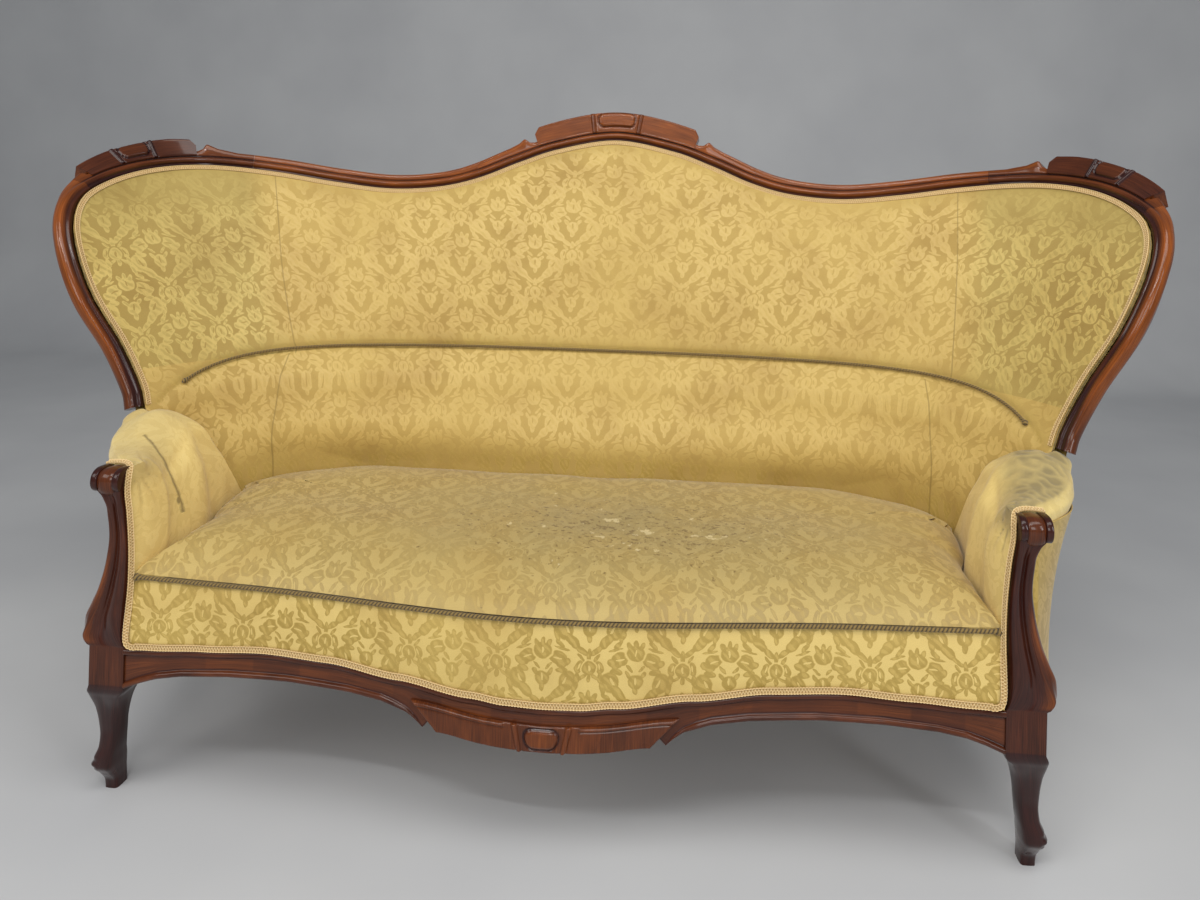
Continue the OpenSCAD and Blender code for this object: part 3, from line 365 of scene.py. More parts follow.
def add_node(tree, kind, *values, out=None, stops=(), **settings):
    """Adds a node and returns one of its outputs. An operation may follow the kind. The values go in turn to
    the sockets in use, capitalised settings to the sockets they name, and the others are the node's own."""
    kind, _, operation = kind.partition(" ")
    node = tree.nodes.new("ShaderNode" + kind)
    if kind == "Mix":
        node.data_type, node.blend_type = "RGBA", operation
    elif operation:
        node.operation = operation
    for key in filter(str.islower, settings):
        setattr(node, key, settings[key])
    for socket, value in zip([s for s in node.inputs if s.enabled], values):
        connect(tree, socket, value)
    for key in (k for k in settings if not k.islower()):
        connect(tree, node.inputs[key.replace("_", " ")], settings[key])
    if stops:
        points = node.color_ramp.elements
        for point, (at, shade) in zip(points, (stops[0], stops[-1])):
            point.position, point.color = at, colour(shade)
        for at, shade in stops[1:-1]:
            points.new(at).color = colour(shade)
    return node.outputs[out] if out else next(s for s in node.outputs if s.enabled)


def set_surface(tree, **inputs):
    for key, value in inputs.items():
        connect(tree, tree.nodes["Principled BSDF"].inputs[key.replace("_", " ")], value)


def new_material(name):
    """What a finish is made with: its add_node and set_surface, the place on the cloth or along the grain,
    the place in the frame, and the tone a piece was given."""
    material = bpy.data.materials.new(name)
    material.use_nodes = True
    FINISHES[name] = material
    node, surface = partial(add_node, material.node_tree), partial(set_surface, material.node_tree)
    tone = node("Attribute", attribute_name="tone", out="Fac")
    return node, surface, node("UVMap"), node("TexCoord", out="Object"), tone


def show_wood():
    """French-polished mahogany, dark in its hollows and worn to red-brown on its raised bands."""
    node, surface, uv, where, tone = new_material("french_polished_mahogany")
    # Fibres run along the piece, about a millimetre wide and 60 mm long: as coarse as they need to show
    fibre_at = node("Mapping", uv, Scale=(16.0, 900.0, 1.0))
    fibre = node("TexNoise", fibre_at, Scale=1.0, Detail=5.0, Roughness=0.62)
    # Figure of the veneer, some 110 mm long and 14 mm wide
    figure_at = node("Mapping", uv, Scale=(9.0, 70.0, 1.0))
    figure = node("TexNoise", figure_at, Scale=1.0, Detail=3.0, Distortion=0.8)
    age = node("TexNoise", where, Scale=7.0, Detail=4.0)
    dark = node("ValToRGB", fibre, stops=[(0.3, "#1c0c0b"), (0.55, "#331512"), (0.75, "#472018")])
    light = node("ValToRGB", fibre, stops=[(0.3, "#5b2a0d"), (0.55, "#8a4819"), (0.75, "#a96428")])
    stray = node("Math MULTIPLY", node("Math SUBTRACT", age, 0.5), 0.5)
    base = node("Mix MIX", node("Clamp", node("Math ADD", tone, stray)), dark, light)
    shade = node("ValToRGB", figure, stops=[(0.3, 0.62), (0.7, 1.12)])
    # The polish is a thin clear coat that wear has dulled a little
    surface(Base_Color=node("Mix MULTIPLY", 0.8, base, shade), Specular_IOR_Level=0.12,
            Roughness=node("ValToRGB", age, stops=[(0.35, 0.26), (0.7, 0.4)]),
            Normal=node("Bump", Height=fibre, Strength=0.12, Distance=0.0004),
            Coat_Weight=0.65, Coat_IOR=1.38, Coat_Roughness=0.08)


def beech(name, colours, rough):
    """Planed beech with short dark flecks: pale where bare inside the frame, red-brown where stained."""
    node, surface, _, where, _ = new_material(name)
    # Flecks some 17 mm long and 2.4 mm wide, along the sofa: coarser than the real ones, so that they show
    fleck_at = node("Mapping", where, Scale=(60.0, 420.0, 420.0))
    fleck = node("TexNoise", fleck_at, Scale=1.0, Detail=4.0)
    stain = node("TexNoise", where, Scale=6.0, Detail=3.0)
    base = node("ValToRGB", fleck, stops=[*zip((0.35, 0.6, 0.8), colours)])
    stained = node("ValToRGB", stain, stops=[(0.3, 0.6), (0.7, 1.05)])
    surface(Base_Color=node("Mix MULTIPLY", 0.7, base, stained), Roughness=rough,
            Normal=node("Bump", Height=fleck, Strength=0.2, Distance=0.0005))


# One figure of the damask on its repeat of 147 by 157 mm, right half only. Each leaf has its centre, turn
# in degrees and half sizes in millimetres, the vein cut out of it if any, and whether it lies on the leaves
# before it
REPEAT = (147.0, 157.0)
LEAVES = [
    ((0, -33, 0, 4, 10), None, False), ((12, -26, 38, 12.5, 4.6), None, False),
    ((27, -12, 44, 16, 8), None, False), ((39.5, 5, 74, 17, 13.5), (35, 3, 62, 9, 1.7), False),
    ((31, 21, 8, 10, 4.8), None, False), ((52, -4, 68, 9.5, 4.6), None, False),
    ((46, -17, 40, 9, 3.8), None, False), ((55, 11, 96, 8.5, 4.4), None, False),
    ((25, 40, -14, 14.5, 11), (24, 39, -12, 7, 1.4), True), ((38, 34, 24, 8, 6), None, False),
    ((30, 29.5, -16, 8.5, 5), None, False), ((31, 54, -14, 13, 2.2), None, False),
    ((0, 50, 0, 15, 12.5), (0, 51, 0, 1.5, 5.5), True), ((0, 63, 0, 3.8, 7.5), None, False),
    ((9.5, 60, -28, 4, 7.5), None, False), ((0, 7, 0, 12, 12), (0, 9, 0, 1.6, 6), True),
    ((0, -7, 0, 4.6, 7), None, False), ((10, 27, 44, 8, 2.6), None, False),
    ((11.5, 17, 50, 8, 3.4), None, False), ((16, -51, 16, 7, 11), (15.5, -50, 16, 1.4, 5), False),
    ((12, -37, 50, 8.5, 2.6), None, False), ((0, -53, 0, 11.5, 12), (0, -53, 0, 1.8, 5), True),
    ((0, -69, 0, 3.8, 6.5), None, False), ((11, -67, -28, 8.5, 2.8), None, False),
]


def ellipse(node, point, shape):
    """How far a point is from an ellipse's middle: 1 on its edge. The point's Z is scaled away."""
    x, y, turn, rx, ry = shape
    local = node("Mapping", point, vector_type="TEXTURE", Location=(x, y, 0.0),
                 Rotation=(0.0, 0.0, float(np.radians(turn))), Scale=(rx, ry, 1e6))
    return node("VectorMath LENGTH", local)


def damask_figure():
    """Node group: distance to the nearest leaf of a figure, 1 on its outline, or the Near given if less."""
    group = bpy.data.node_groups.new("damask_figure", "ShaderNodeTree")
    sockets = (("At", "INPUT", "Vector"), ("Near", "INPUT", "Float"), ("Near", "OUTPUT", "Float"))
    for label, way, kind in sockets:
        group.interface.new_socket(label, in_out=way, socket_type=f"NodeSocket{kind}")
    at, near = group.nodes.new("NodeGroupInput").outputs[:2]
    node = partial(add_node, group)
    cell = node("VectorMath SUBTRACT", node("VectorMath FRACTION", at), (0.5, 0.5, 0.0))
    x, y, _ = node("SeparateXYZ", node("VectorMath MULTIPLY", cell, (*REPEAT, 1.0))).node.outputs
    x = node("Math ABSOLUTE", x)
    for leaf, vein, lies_on_others in LEAVES:
        # The nearest so far rides in Z, so that the leaves are worked out one after another
        point = node("CombineXYZ", x, y, near)
        far = ellipse(node, point, leaf)
        if lies_on_others:
            # A bare line about a tenth of its size wide keeps it apart from them
            near = node("Math MAXIMUM", near, node("Math SUBTRACT", 2.12, far))
        if vein:
            far = node("Math MAXIMUM", far, node("Math SUBTRACT", 2.0, ellipse(node, point, vein)))
        near = node("Math MINIMUM", near, far)
    group.links.new(near, group.nodes.new("NodeGroupOutput").inputs[0])
    return group


# Where the worn spot on the left arm lies, and the crack that runs past it, in metres
ARM_SPOT = (-0.6267, -0.2124, 0.4105)
ARM_CRACK = ((-0.7032, -0.1865, 0.5057), (-0.6341, -0.2178, 0.4439), (-0.6229, -0.2044, 0.3886))
# The seam between the middle and outer panels of the back, in metres: where it starts, how far out it
# stands there, and the height from which it leans outwards
SEAM_LOW, SEAM_X, SEAM_LEAN_FROM = 0.588, 0.618, 0.62


def panel_seam(node, where):
    """How far a place is outside the seam, 1 above the seam's lower end, and the height."""
    x, _, z = node("SeparateXYZ", where).node.outputs
    upper = node("Math GREATER_THAN", z, SEAM_LOW)
    left = node("Math LESS_THAN", x, 0.0)
    # The left seam leans more, and the right one stands 45 mm further out
    lean = node("Math MULTIPLY_ADD", left, 0.177, 0.123)
    rise = node("Math MULTIPLY", upper, node("Math SUBTRACT", z, SEAM_LEAN_FROM))
    slant = node("Math MULTIPLY", rise, lean)
    step = node("Math MULTIPLY", node("Math SUBTRACT", 1.0, left), node("Math MULTIPLY", upper, 0.045))
    line_x = node("Math ADD", SEAM_X, node("Math ADD", slant, step))
    return node("Math SUBTRACT", node("Math ABSOLUTE", x), line_x), upper, z


def arm_marks(node, where, soil, crack):
    """One thin crack from one place on the arm through a second to a third, and the brown spot by it."""
    start, middle, end = (np.array(q) for q in crack)
    along, plane = unit(end - start), unit(np.cross(middle - start, end - start))
    from_start = node("VectorMath SUBTRACT", where, tuple(start))
    off = node("VectorMath DOT_PRODUCT", from_start, tuple(plane))
    stray = node("Math MULTIPLY", node("Math SUBTRACT", soil, 0.5), 0.035)
    off_line = node("Math ABSOLUTE", node("Math ADD", off, stray))
    half = float(np.linalg.norm(end - start)) / 2
    in_run = node("Math COMPARE", node("VectorMath DOT_PRODUCT", from_start, tuple(along)), half, half)
    near_by = node("Math LESS_THAN", node("VectorMath DISTANCE", where, tuple(middle)), 0.1)
    line = node("ValToRGB", off_line, stops=[(0.0003, 0.8), (0.0013, 0)])
    mark = node("Math MULTIPLY", node("Math MULTIPLY", in_run, near_by), line)
    spot = node("ValToRGB", node("VectorMath DISTANCE", where, ARM_SPOT), stops=[(0.0045, 0.75), (0.007, 0)])
    return node("Math MAXIMUM", mark, spot)


def damask(name, repeat, colours, drop=0.0, plain=0.0, grime=0.0, specks=0.0, panels=False, painted_unlit_motif=None,
           crack=None):
    """Silk-like damask, woven in one colour: satin figures on a matt ribbed ground, soiled with age, and with
    the satin's sheen painted into its colours.
    """
    ground, motif, outline = colours
    node, surface, uv, where, tone = new_material(name)
    # Hand of the weave: the drawing strays by up to 2 mm
    wobble = node("TexNoise", uv, Scale=70.0, Detail=3.0, out="Color")
    bent = node("VectorMath MULTIPLY_ADD", node("VectorMath SUBTRACT", wobble, (0.5,) * 3), (0.006,) * 3, uv)
    near = 9.0
    figures_a_metre = (1000 / repeat[0], 1000 / repeat[1], 1.0)
    for shift in (0.0, 0.5):
        at = node("Mapping", bent, Scale=figures_a_metre, Location=(shift, shift + drop, 0.0))
        near = node("Group", node_tree=figure, At=at, Near=near)
    # Satin inside a leaf, a little duller towards its middle, and a woven outline round it
    inside = node("ValToRGB", near, stops=[(0.0, 0.72), (0.6, 0.95), (0.9, 1), (0.98, 0)])
    # Feather barbs some 10 mm apart, fainter towards a leaf's edge
    barbs = node("TexWave", bent, bands_direction="DIAGONAL", Scale=45.0, Distortion=5.0, Detail=1.0,
                 out="Fac")
    barb_depth = node("ValToRGB", near, stops=[(0.6, 1), (0.85, 0.2)])
    barb_shade = node("ValToRGB", barbs, stops=[(0.25, 0.45), (0.6, 1)])
    inside = node("Math MULTIPLY", inside, node("Mix MIX", barb_depth, 1, barb_shade))
    edge = node("ValToRGB", near, stops=[(0.93, 0), (1.0, 1), (1.1, 0.75), (1.28, 0)])
    cloud = node("TexNoise", where, Scale=2.6, Detail=3.0)
    soil = node("TexNoise", where, Scale=8.0, Detail=6.0, Roughness=0.6)
    # Broad soft patches where the figures fade and show again: painted sheen of the satin
    show = node("ValToRGB", cloud, stops=[(0.33, 0.4), (0.6, 1)])
    # Warp and weft are drawn 1.1 mm apart, coarser than the real threads, so that they show
    weave_at = node("Mapping", uv, Scale=(910.0, 910.0, 1.0))
    weave = node("TexNoise", weave_at, Scale=1.0, Detail=2.0)
    ribs = node("TexWave", weave_at, bands_direction="X", Scale=0.32, Distortion=1.5, out="Fac")
    if panels:
        # The outer panels take the light otherwise: an olive ground, bright figures, and a plain top
        past, upper, height = panel_seam(node, where)
        outer = node("Math MULTIPLY", node("ValToRGB", past, stops=[(0.0, 0), (0.05, 1)]), upper)
        ground = node("Mix MIX", outer, ground, "#a8924f")
        motif = node("Mix MIX", outer, motif, "#d3ba6d")
        top = node("ValToRGB", height, stops=[(0.82, 1), (0.9, 0.25), (1.0, 0.35)])
        show = node("Math MULTIPLY", show, node("Mix MIX", outer, 1, top))
        stitch = node("Math LESS_THAN", node("Math ABSOLUTE", past), 0.0011)
    inside = node("Math MULTIPLY", inside, node("Math MULTIPLY", show, 1 - plain))
    edge = node("Math MULTIPLY", edge, node("Math MULTIPLY", show, 0.85 - plain))
    # Painted sheen: where the tone is high, the satin figures take a darker colour, as if turned from the
    # light
    if painted_unlit_motif:
        motif = node("Mix MIX", tone, motif, painted_unlit_motif)
    base = node("Mix MIX", inside, node("Mix MIX", edge, ground, outline), motif)
    base = node("Mix MULTIPLY", 0.5, base, node("ValToRGB", weave, stops=[(0.3, 0.82), (0.7, 1.14)]))
    base = node("Mix MULTIPLY", 0.3, base, node("ValToRGB", soil, stops=[(0.33, "#bda573"), (0.54, 1)]))
    if panels:
        base = node("Mix MIX", node("Math MULTIPLY", stitch, 0.6), base, "#8a7338")
    if grime:
        # Broad grey-brown soiling where hands and bodies rub; on the arms the tone also carries painted shade
        # in the valleys of the pleats and creases
        rubbed = node("Math MULTIPLY", tone, node("ValToRGB", soil, stops=[(0.3, 0.35), (0.6, grime)]))
        base = node("Mix MIX", rubbed, base, "#8f7f55")
    if specks:
        # Burnt and worn specks of 2 to 6 mm, and a few bare patches of pale lining, most where the tone is
        # high
        amount = node("Math MULTIPLY_ADD", tone, 0.4, 0.6)
        for scale, detail, rough, shade, stops in (
            (120.0, 4.0, 0.6, "#6b552c", [(0.545, 0), (0.6, specks)]),
            (30.0, 6.0, 0.65, "#d9c795", [(0.605, 0), (0.63, 0.7)]),
        ):
            marks = node("TexNoise", where, Scale=scale, Detail=detail, Roughness=rough)
            marks = node("ValToRGB", node("Math MULTIPLY", marks, amount), stops=stops)
            base = node("Mix MIX", marks, base, shade)
    if crack:
        base = node("Mix MIX", arm_marks(node, where, soil, crack), base, "#6d5a30")
    relief = node("Math ADD", node("Math MULTIPLY", ribs, 0.25), node("Math MULTIPLY", inside, 0.8))
    surface(Base_Color=base, Roughness=node("Math SUBTRACT", 0.74, node("Math MULTIPLY", inside, 0.2)),
            Sheen_Weight=0.2, Sheen_Roughness=0.4,
            Normal=node("Bump", Height=relief, Strength=0.25, Distance=0.0006))


def trim(name, low, high, rough, thread_scale):
    """Woven braid or cord, light on its raised threads and darkened between them with painted shade."""
    node, surface, _, where, tone = new_material(name)
    thread = node("TexNoise", where, Scale=thread_scale, Detail=3.0)
    amount = node("Math ADD", tone, node("Math MULTIPLY", node("Math SUBTRACT", thread, 0.5), 0.5))
    surface(Base_Color=node("ValToRGB", amount, stops=[(0.1, low), (0.75, high)]), Roughness=rough,
            Sheen_Weight=0.2, Normal=node("Bump", Height=thread, Strength=0.4, Distance=0.0006))


def spring_steel():
    """Coppered steel wire, dulled by age."""
    node, surface, _, where, _ = new_material("coppered_spring_wire")
    rust = node("TexNoise", where, Scale=60.0, Detail=4.0)
    surface(Base_Color=node("ValToRGB", rust, stops=[(0.35, "#5b3a28"), (0.6, "#8d6f5b"), (0.8, "#a88e7b")]),
            Roughness=node("ValToRGB", rust, stops=[(0.3, 0.6), (0.7, 0.35)]), Metallic=0.9)


def jute():
    """Coarse jute webbing and hessian: brown, hairy and loosely woven."""
    node, surface, _, where, _ = new_material("woven_jute")
    # Threads 5 mm apart both ways, coarser than the real ones, so that they show
    across = node("TexWave", where, bands_direction="X", Scale=63.0, Distortion=0.6, out="Fac")
    along = node("TexWave", where, bands_direction="Y", Scale=63.0, Distortion=0.6, out="Fac")
    weave = node("Math MULTIPLY", across, along)
    surface(Base_Color=node("ValToRGB", weave, stops=[(0.0, "#6b5434"), (0.7, "#a98c5e")]), Roughness=0.9,
            Normal=node("Bump", Height=weave, Strength=0.5, Distance=0.0008))


show_wood()
beech("planed_beech", ("#8a6038", "#b58a5a", "#c79f6f"), 0.62)
beech("stained_beech", ("#2e1510", "#47231a", "#5a3022"), 0.42)
figure = damask_figure()
damask("gold_damask_back", REPEAT, ("#bfa259", "#ccaf67", "#a88b47"), drop=0.18, panels=True, painted_unlit_motif="#a98e42")
# The arms' covers are drawn lighter than the back's: painted light that makes up for the shade on their inner
# sides
damask("gold_damask_arm_left", REPEAT, ("#ecd186", "#eed68f", "#d4b970"), plain=0.45, grime=0.3,
       crack=ARM_CRACK)
damask("gold_damask_arm_right", REPEAT, ("#ead083", "#edd48b", "#d3b86f"), plain=0.45, grime=0.95)
# The seat's and the border's figures are darker than their ground and their outlines lighter: painted sheen,
# the satin's contrast reversed where it takes the light from another side
damask("gold_damask_seat", (128.0, 137.0), ("#bfa35a", "#a58b4a", "#cdb470"), grime=0.75, specks=0.7)
damask("gold_damask_border", (126.0, 134.0), ("#c4a85d", "#a2883e", "#d6bd76"), drop=0.1)
damask("gold_damask_outside", REPEAT, ("#bd9e4e", "#c9ab5c", "#a98d43"), plain=0.3)
trim("cream_gimp_braid", "#a3814a", "#dcc08c", 0.8, 900.0)
trim("olive_piping_cord", "#3b2e14", "#7f6733", 0.75, 900.0)
spring_steel()
jute()

# Back frame
# How far the leaf hooks stand out along the edge, as rows of place and share
HOOKS = [
    [0, 0], [1.55, 0.1], [1.6, 0.3], [1.68, 1], [1.85, 0.6], [2.1, 0.4], [2.7, 0.3], [3.4, 0.1], [4.5, 0],
    [7.8, 0], [8.2, 0.4], [8.44, 1], [8.52, 0.3], [8.6, 0.1], [11.15, 0.3], [11.22, 0.6], [11.6, 0.3],
    [12.3, 0], [13.5, -0.2], [18, -0.1],
]
# Section of the frame as rows of offset, share of the width, height and tone: 0 in a dark hollow, 1 on the
# band. On the crest a round moulding lies inside a flat band; down the stiles both become one broad roll.
CREST_SECTION = [
    (0, 0, -22, 0.1), (0, 0, -8, 0.1), (0, 0, 1.6, 0.1), (0.6, 0, 3.8, 0.1), (2.0, 0, 4.6, 0.1),
    (3.4, 0, 4.5, 0), (4.3, 0, 5.0, 0.1), (5.2, 0, 7.0, 0.4), (6.6, 0, 9.2, 0.6), (8.4, 0, 11.0, 0.7),
    (10.6, 0, 12.0, 0.75), (12.8, 0, 11.7, 0.75), (14.8, 0, 10.5, 0.65), (16.4, 0, 8.7, 0.45),
    (17.5, 0, 6.9, 0.15), (18.2, 0, 6.2, 0), (18.9, 0, 6.3, 0.1), (19.6, 0, 7.4, 0.7), (20.6, 0, 8.2, 0.9),
    (23, 0, 8.6, 1), (-5, 1, 8.4, 1), (-2.6, 1, 8, 1), (-1.1, 1, 6.9, 0.95), (-0.3, 1, 5.2, 0.9),
    (0, 1, 2.6, 0.8), (0, 1, -10, 0.6), (0, 1, -22, 0.3), (-12, 1, -22, 0.2),
]
STILE_SECTION = [
    (0, 0, -22, 0.1), (0, 0, -8, 0.1), (0, 0, 1.6, 0.05), (0.6, 0, 3.6, 0.1), (1.6, 0, 4.8, 0.15),
    (3, 0, 5.3, 0.1), (4.4, 0, 5.4, 0.05), (5.6, 0, 5.6, 0), (6.6, 0, 6.4, 0.1), (7.6, 0, 7.8, 0.25),
    (8.8, 0, 9.6, 0.5), (10.2, 0, 11.2, 0.7), (12, 0, 12.3, 0.85), (14.2, 0, 12.9, 0.95),
    (16.4, 0, 13.0, 1), (17.8, 0, 12.8, 1), (19, 0, 12.4, 1), (20.4, 0, 11.8, 1), (-6.6, 1, 10.8, 1),
    (-5.2, 1, 9.6, 1), (-3.8, 1, 8.0, 1), (-2.5, 1, 6.2, 1), (-1.3, 1, 4.1, 0.95), (-0.4, 1, 1.8, 0.9),
    (0, 1, -0.9, 0.8), (0, 1, -10, 0.6), (0, 1, -22, 0.3), (-12, 1, -22, 0.2),
]


JOINT_U = 0.004


def frame_part(name, u0, u1, stands_for, mirror=False, shade=0.0):
    us = np.linspace(u0, u1, int(abs(u1 - u0) / 0.035) + 1)
    a = np.abs(us)
    under_tablet = (a < CREST_TABLET_U + 0.1) | (
        (a > SHOULDER_TABLET_U[0] - 0.08) & (a < SHOULDER_TABLET_U[1] + 0.04))
    hook = np.where(under_tablet, 0, table(HOOKS, a))[:, None]
    width = FRAME_W + 15 * hook
    rows = mix(np.array(CREST_SECTION), np.array(STILE_SECTION), ease((a - 10.9) / 1.6)[:, None, None])
    o, n, tone = rows[..., 0] + rows[..., 1] * width, rows[..., 2], rows[..., 3] + shade
    # The stile darkens towards its foot
    tone -= 0.7 * ease((a - 15.6) / 1.6)[:, None]
    # Acanthus tips beside the tablets rise and are cut with two veins
    share = np.clip((o - 20) / np.maximum(width - 20, 1), 0, 1)
    lift = np.clip(hook, 0, 1) * share
    n = n + np.where(n > 0, lift * 2.2 + lift * 1.4 * np.sin(share * 9.5), 0)
    p = closed(on_edge(us[:, None] + 0 * o, o, n))
    # Each member is cut from another board, so its grain starts elsewhere
    uv = flat_run(lengths(on_edge(us, 15.0, 0.0)) + 37 * u0, lengths(p[0]))
    carved(name, p, uv, closed(tone), stands_for, mirror)


frame_part("crest_rail_wood", -CREST_END_U, CREST_END_U, ["crest_rail"])
# Each member starts at a fine joint and was polished lighter or darker than its neighbours
MEMBERS = (("crest_link", CREST_END_U, LINK_END_U, 0.1), ("shoulder", LINK_END_U, SHOULDER_END_U, -0.3),
           ("stile", SHOULDER_END_U, FOOT_U, 0.05))
for side, mirror in SIDES:
    for member, start, end, shade in MEMBERS:
        frame_part(f"{member}_{side}_wood", start + JOINT_U, end, [f"{member}_{side}"], mirror, shade)


def rounded_box(x, y, hx, hy, r):
    """Signed distance to a rounded rectangle."""
    qx, qy = np.abs(x) - hx + r, np.abs(y) - hy + r
    return np.hypot(np.maximum(qx, 0), np.maximum(qy, 0)) + np.minimum(np.maximum(qx, qy), 0) - r


def tablet(name, us, width, middle, bar, stands_for, mirror=False, polish=0.85):
    """A raised tablet with flat wings, two half-round ribs and a rounded cabochon in a sunk line. Its ribs
    stand bar to each side of its middle, which is half_bar in millimetres."""
    half_bar = 51.0 if middle == 0 else 41.0
    face, o0, w = 0.68 * MOULD_H + CLEAR + TABLET_T, MOULD_W * 1.12, width[:, None]
    v = np.linspace(0, 1, 30)[None]
    s = np.abs((us - middle) / bar)[:, None] + 0 * v
    box = rounded_box(s * half_bar, (v - 0.62) * (w - o0), half_bar * 0.78, 15.5, 12.5)
    cut = -2.2 * bell(box / 1.6) + 1.8 * ease(-box / 5)
    rib = np.abs(s - 1) * half_bar
    ribs = CARVING_H * np.sqrt(np.clip(1 - (rib / 4.2) ** 2, 0, 1)) - 0.9 * bell((rib - 5.4) / 1.1)
    sunk = -0.8 * ease((s - 1.12) / 0.05) * ease(v / 0.06) * ease((1 - v) / 0.1)
    edge = np.minimum(v / 0.05, (1 - v) / 0.07)
    height = face + np.where(s < 0.9, cut, 0) + ribs + sunk - 1.6 * (1 - np.clip(edge, 0, 1)) ** 2
    # Round the back it follows the frame's outer side and the face of its moulding
    behind = np.tile([2.0, -22.0, -22.0, face - TABLET_T, face - TABLET_T], (len(us), 1))
    outer = FRAME_W + CLEAR + 0 * w
    o = np.concatenate([mix(o0, w, v), w, w, outer, outer, o0 + 0 * w], 1)
    p = closed(on_edge(us[:, None] + 0 * o, o, np.concatenate([height, behind], 1)))
    shade = polish - 0.6 * bell(box / 1.8) * (s < 0.9) - 0.3 * (rib < 4.5) + 0.1 * (box < -3)
    tone = closed(np.concatenate([shade, 0.5 + 0 * behind], 1))
    uv = flat_run(lengths(on_edge(us, 40.0, 0.0)), lengths(p[len(us) // 2]))
    carved(name, p, uv, tone, stands_for, mirror, 42)


crest_us = np.linspace(-CREST_TABLET_U, CREST_TABLET_U, 190)
crest_shares = [[0, 1], [0.8, 0.98], [1.3, 0.94], [CREST_TABLET_U, 0.74]]
crest_w = CREST_TABLET_W * table(crest_shares, np.abs(crest_us))
tablet("crest_tablet_wood", crest_us, crest_w, 0.0, 0.345, ["crest_tablet"])
shoulder_us = np.linspace(*SHOULDER_TABLET_U, 170)
shoulder_shares = [[8.68, 0.72], [8.8, 0.94], [9.2, 1], [10.4, 1], [11.12, 0.94]]
shoulder_w = SHOULDER_TABLET_W * table(shoulder_shares, shoulder_us)
for side, mirror in SIDES:
    tablet(f"shoulder_tablet_{side}_wood", shoulder_us, shoulder_w, mix(*SHOULDER_TABLET_U, 0.526), 0.37,
           [f"shoulder_tablet_{side}"], mirror, 0.2)

# Front posts
POST_FRONT = -POST_T * 0.96
# Rows of height (share of the arm's), inner and outer side (shares of the width), front and back (shares of
# the depth), and outline: 0 the leg's, 1 the block's, 2 the stump's
POST_SHARES = [
    [0.000, 0.80, 1.21, 0.96, 1.41, 0.3], [0.024, 0.80, 1.22, 0.94, 1.40, 0.3],
    [0.060, 0.76, 1.27, 0.72, 1.37, 0], [0.092, 0.71, 1.36, 0.52, 1.33, 0],
    [0.120, 0.67, 1.29, 0.51, 1.24, 0], [0.150, 0.61, 1.17, 0.53, 1.15, 0],
    [0.190, 0.55, 1.12, 0.52, 1.08, 0], [0.230, 0.50, 1.12, 0.45, 1.04, 0],
    [0.278, 0.40, 1.14, 0.33, 1.02, 0.1], [0.328, 0.20, 1.17, 0.12, 1.0, 0.4],
    [0.350, 0.04, 1.12, 0.03, 1.0, 0.8], [0.372, 0.0, 1.02, 0.0, 1.0, 1], [0.484, 0.0, 1.02, 0.0, 1.0, 1],
    [0.490, 0.0, 1.14, -0.02, 0.99, 1.2], [0.520, 0.01, 1.34, -0.04, 0.98, 1.6],
    [0.555, 0.03, 1.32, -0.04, 0.97, 1.9], [0.600, 0.05, 1.16, -0.01, 0.95, 2],
    [0.650, 0.04, 0.97, 0.02, 0.93, 2], [0.726, 0.03, 0.79, 0.07, 0.92, 2],
    [0.800, 0.07, 0.70, 0.08, 0.90, 2], [0.880, 0.14, 0.74, 0.02, 0.84, 2],
    [0.915, 0.18, 0.82, 0.0, 0.80, 1.6], [0.945, 0.23, 0.98, 0.0, 0.76, 1.2],
]
LEG_RING = [
    [-0.42, 0.44], [-0.5, 0.2], [-0.5, -0.1], [-0.44, -0.36], [-0.3, -0.48], [-0.12, -0.5], [0.04, -0.5],
    [0.22, -0.49], [0.4, -0.42], [0.49, -0.22], [0.5, 0.05], [0.48, 0.3], [0.4, 0.46], [0, 0.5],
]
BLOCK_RING = [
    [-0.5, 0.5], [-0.5, 0.15], [-0.5, -0.2], [-0.5, -0.46], [-0.46, -0.5], [-0.2, -0.5], [0, -0.5],
    [0.2, -0.5], [0.46, -0.5], [0.5, -0.46], [0.5, -0.2], [0.5, 0.15], [0.5, 0.5], [0, 0.5],
]
STUMP_RING = [
    [-0.5, 0.5], [-0.5, 0.0], [-0.48, -0.3], [-0.38, -0.46], [-0.24, -0.5], [-0.08, -0.42], [0.02, -0.34],
    [0.1, -0.42], [0.24, -0.48], [0.38, -0.42], [0.48, -0.24], [0.5, 0.05], [0.5, 0.5], [0, 0.5],
]


